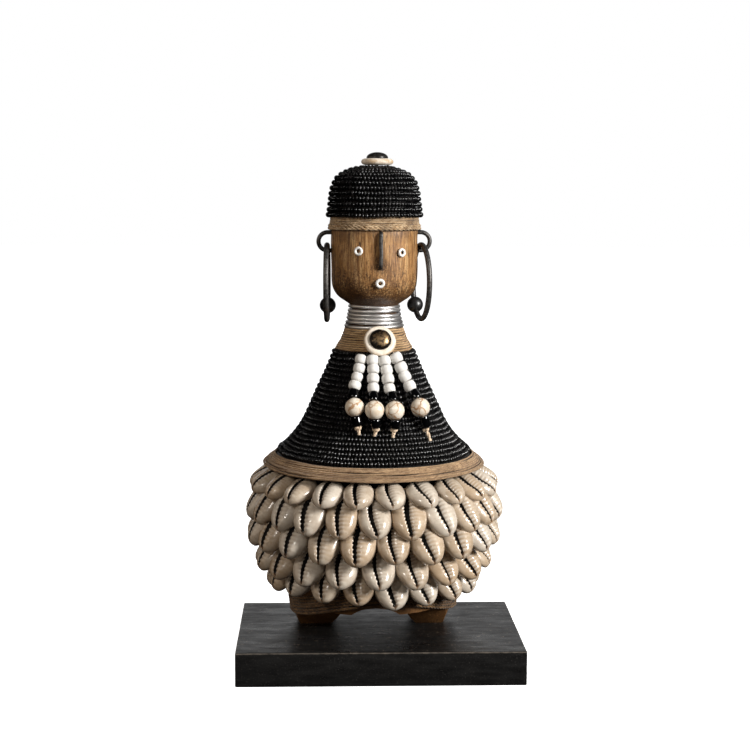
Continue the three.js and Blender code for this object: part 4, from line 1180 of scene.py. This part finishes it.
def cowrie(size, seed):
    """Grids of vertices and shades of one shell: x to its right, y out of its mouth, z up from its tip."""
    v = LEVELS
    half = np.sqrt(np.clip(1 - np.abs(v) ** 2.15, 0, 1)) ** 0.92 * (1 + 0.09 * v - 0.03 * v ** 2)
    slit, left_edge, right_edge, ridge = mouth(v, half, np.random.default_rng(seed))
    x = np.concatenate([
        (left_edge + 1) * ACROSS_LEFT - 1, left_edge,
        left_edge + 0.006, left_edge + 0.02,
        (left_edge + right_edge) / 2,
        right_edge - 0.02, right_edge - 0.006,
        right_edge, right_edge + (1 - right_edge) * ACROSS_RIGHT,
    ], 1)
    first, last = len(ACROSS_LEFT) + 1, len(ACROSS_LEFT) + 5
    inside = np.zeros_like(x, bool)
    inside[:, first:last + 1] = True
    on_left = x <= left_edge + 1e-9
    on_right = x >= right_edge - 1e-9

    def beside(left, left_reach, right, right_reach):
        """A value that fades away from each of the mouth's two edges."""
        from_left = left * np.exp(-np.clip(left_edge - x, 0, None) / left_reach)
        from_right = right * np.exp(-np.clip(x - right_edge, 0, None) / right_reach)
        return np.where(on_left, from_left, np.where(on_right, from_right, 0))

    # Height of the front: a dome that falls into the mouth, with teeth beside it
    y = (1 - np.abs(x) ** 2.5) ** 0.52 * (0.90 + 0.10 * np.tanh(2.5 * (x - slit)))
    toothed = (ridge - 0.5) * beside(0.045, 0.12, 0.070, 0.26) * np.clip((1 - np.abs(v)) * 4, 0, 1)
    y = y * (1 - beside(0.16, 0.09, 0.26, 0.16)) + toothed
    y = np.where(inside, 0.22 * y + 0.03, y)
    y[:, first] = 0.95 * y[:, first - 1]
    y[:, last] = 0.95 * y[:, last + 1]
    belly = np.sqrt(np.clip(1 - np.abs(v) ** 3.4, 0, 1)) ** 0.9
    back_x = np.linspace(1, -1, 7)[1:-1] + 0 * v
    sideways = np.concatenate([x, back_x], 1)
    outwards = np.concatenate([y, -0.10 * (1 - back_x ** 2)], 1) * belly
    points = np.stack([sideways * half, outwards, v + 0 * sideways], -1)
    points *= [size * COWRIE_WIDTH / 2, size * COWRIE_DEPTH, size * COWRIE_LENGTH / 2]

    # Shades: the mouth near-black, painted shade, and the back a little darker; stains, with painted shade
    # in the grooves between the teeth; and painted highlight on the ridges of the teeth
    notch = np.clip((-0.78 - v) / 0.12, 0, 1)
    rim = beside(1, 0.12, 1, 0.30)
    margin = 0.22 * np.clip((np.abs(x) - 0.72) / 0.28, 0, 1) ** 2
    at_ends = np.exp(-((v + 0.93) / 0.13) ** 2) + 0.5 * np.exp(-((v - 0.95) / 0.12) ** 2)
    stains_and_groove_shade = np.clip(at_ends * np.exp(-((x - slit) / 0.20) ** 2), 0, 1)
    stains_and_groove_shade = np.clip(stains_and_groove_shade + np.where(inside, 0.75 * notch, 0.42 * rim * (1 - ridge) + margin), 0, 1)
    ridge_highlight = np.where(inside, 0, rim * ridge) * np.where(on_left, 0.55, 1.0)
    shade = np.zeros(points.shape)
    shade[:, :x.shape[1]] = np.stack([inside * (1 - 0.88 * notch), stains_and_groove_shade, ridge_highlight], -1)
    shade[:, x.shape[1]:, 0] = 0.15
    return points, shade


def turned(a, b, angle):
    """Two axes turned by an angle in their plane, the first towards the second."""
    c, s = math.cos(angle), math.sin(angle)
    return c * a + s * b, c * b - s * a


def cowrie_row(number, count, tip, first, size, rise):
    """A row of shells that lean on the wood, and the carrier cord of two plies that they are tied to."""
    tip = (tip[0] * ROW_RADIUS + TIP_PAST, LEG + tip[1] * SKIRT)
    half = size * COWRIE_LENGTH / 2
    lean = lean_on_wood(tip, 2 * half)
    sine, cosine = math.sin(lean), math.cos(lean)
    centre_r, centre_z = tip[0] - half * sine, tip[1] + half * cosine
    shape = Shape()
    for i in range(count):
        angle = math.radians(first) + 2 * np.pi * i / count + rng.normal(0, 0.006)
        points, shade = cowrie(size * (1 + rng.normal(0, 0.025)), 100 * number + i)
        own = lean + rng.normal(0, 0.025)
        x_axis = np.array([math.cos(angle), math.sin(angle), 0])
        z_axis = around(-math.sin(own), math.cos(own), angle)
        y_axis = np.cross(x_axis, z_axis)
        x_axis, z_axis = turned(x_axis, z_axis, rng.normal(0, 0.07))
        x_axis, y_axis = turned(x_axis, y_axis, rng.normal(0, 0.06) + 0.34 * math.sin(angle))
        raised = rise * max(math.cos(angle + math.radians(45)), 0) ** 3
        centre = around(centre_r, centre_z + raised + rng.normal(0, 0.3), angle)
        faces = grid_faces(*points.shape[:2])
        points = points.reshape(-1, 3) @ np.stack([x_axis, y_axis, z_axis]) + centre
        shape.add(points, faces, tone=rng.uniform(0, 1), shade=shade.reshape(-1, 3))
    shape.build(f"shells_row_{number}", SHELL, "doll", "cowrie_shell", f"cowrie_row_{number}")

    carrier_r = centre_r - CARRIER_UP * half * sine - CARRIER_IN * cosine
    carrier_z = centre_z + CARRIER_UP * half * cosine - CARRIER_IN * sine
    turn = np.linspace(0, 2 * np.pi, 241)
    carrier = Shape()
    for ply in range(2):
        swing = np.pi * ply + turn * carrier_r * 1.1
        line = around(carrier_r, carrier_z, turn) + 0.4 * around(np.cos(swing), np.sin(swing), turn)
        carrier.add_tube(line, around(1.0, 0.0, turn), CARRIER_PLY, 6, twist=2.0)
    carrier.build(f"carrier_cord_{number}", COTTON, "doll", "bead_thread")


for number, row in enumerate(ROWS, 1):
    cowrie_row(number, *row)


# Board and screws
def painted_board():
    """A board with eased edges and a faint waviness along its sides."""
    trim = 0.1
    mesh = bpy.data.meshes.new("painted_board")
    made = bmesh.new()
    bmesh.ops.create_cube(made, size=1.0)
    for vertex in made.verts:
        x, y, z = vertex.co
        vertex.co = Vector((x * (BOARD[0] - trim), y * (BOARD[1] - trim), (z + 0.5) * BOARD[2])) * MM
    bmesh.ops.bevel(made, geom=list(made.edges), offset=0.0007, segments=3, profile=0.6, affect="EDGES")
    long_edges = [edge for edge in made.edges if edge.calc_length() > 0.02]
    bmesh.ops.subdivide_edges(made, edges=long_edges, cuts=40, use_grid_fill=True)
    for vertex in made.verts:
        x, y, z = vertex.co / MM
        dent = 0.05 * math.sin(0.21 * x + 0.4 * y) + 0.04 * math.sin(0.47 * x - 0.13 * y + z)
        inward = Vector((x / (BOARD[0] / 2), y / (BOARD[1] / 2), 0))
        if abs(inward.x) > 0.98 or abs(inward.y) > 0.98:
            vertex.co -= inward * (0.05 + dent * 0.5) * MM
    for face in made.faces:
        face.smooth = True
    made.to_mesh(mesh)
    made.free()
    mesh.set_sharp_from_angle(angle=math.radians(50))
    place_piece("painted_board", mesh, board_paint(), "doll", "painted_board", ["plinth"])


painted_board()

screw_steel = steel()
for name in ("base_screw_left", "base_screw_right"):
    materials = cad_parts[name].data.materials
    if not materials:
        materials.append(screw_steel)
    for index in range(len(materials)):
        materials[index] = screw_steel


# Floor, light and world
MIDDLE = (0, 0, 0.13)


def floor():
    mesh = bpy.data.meshes.new("floor")
    reach = 6.0
    corners = [(-reach, -reach, 0), (reach, -reach, 0), (reach, reach, 0), (-reach, reach, 0)]
    mesh.from_pydata(corners, [], [(0, 1, 2, 3)])
    piece = bpy.data.objects.new("floor", mesh)
    bpy.context.scene.collection.objects.link(piece)
    m = Nodes("pale_floor", Roughness=0.9, Specular_IOR_Level=0.1,
              Emission_Color=(1, 1, 1, 1), Emission_Strength=1.05)
    m.base(m.noise(m.place(), 40, 3), (0.2, (0.90, 0.90, 0.895)), (0.8, (0.93, 0.93, 0.925)))
    mesh.materials.append(m.finish())
    piece.location.z = -0.0002
    piece.visible_diffuse = False
    piece.visible_glossy = False


def lamp(name, at, size, brightness, color=(1, 1, 1), mirrored=True):
    """A soft box turned to the doll. Brightness is its radiance, so a larger box gives more."""
    data = bpy.data.lights.new(name, "AREA")
    data.shape, data.size, data.size_y = "RECTANGLE", size[0], size[1]
    data.energy, data.color = brightness * math.pi * size[0] * size[1], color
    made = bpy.data.objects.new(name, data)
    bpy.context.scene.collection.objects.link(made)
    made.location = at
    made.rotation_euler = (Vector(MIDDLE) - Vector(at)).to_track_quat("-Z", "Y").to_euler()
    made.visible_camera = False
    made.visible_glossy = mirrored
    return made


floor()
lamp("key_light", (0.92, -0.66, 0.55), (0.17, 0.42), 104, (1.0, 0.985, 0.96))
lamp("left_spark", (-0.62, -0.92, 0.72), (0.16, 0.16), 37, (1.0, 0.95, 0.88))
front_sky = lamp("front_sky", (-0.3, -2.2, 0.55), (2.6, 1.8), 0.27, (1.0, 0.89, 0.78))
left_sky = lamp("left_sky", (-2.0, -0.3, 0.7), (2.2, 1.4), 0.82, (1.0, 0.81, 0.64))
lamp("top_sky", (0.1, 0.1, 1.9), (1.4, 1.4), 0.8, mirrored=False)
lamp("back_sky", (0.1, 2.2, 0.7), (3.2, 1.3), 0.62)
lamp("back_fill", (0.5, 2.0, 1.0), (2.4, 1.6), 0.9, mirrored=False)
for entry in flagged.collection_objects:
    entry.light_linking.link_state = "EXCLUDE"
for sky in (front_sky, left_sky):
    sky.light_linking.receiver_collection = flagged

world = bpy.data.worlds.new("studio")
world.use_nodes = True
bpy.context.scene.world = world
background = world.node_tree.nodes["Background"]
background.inputs["Color"].default_value = (1, 1, 1, 1)
background.inputs["Strength"].default_value = 1.0
world.cycles_visibility.diffuse = False
world.cycles_visibility.glossy = False
bpy.context.scene.view_settings.view_transform = "Standard"
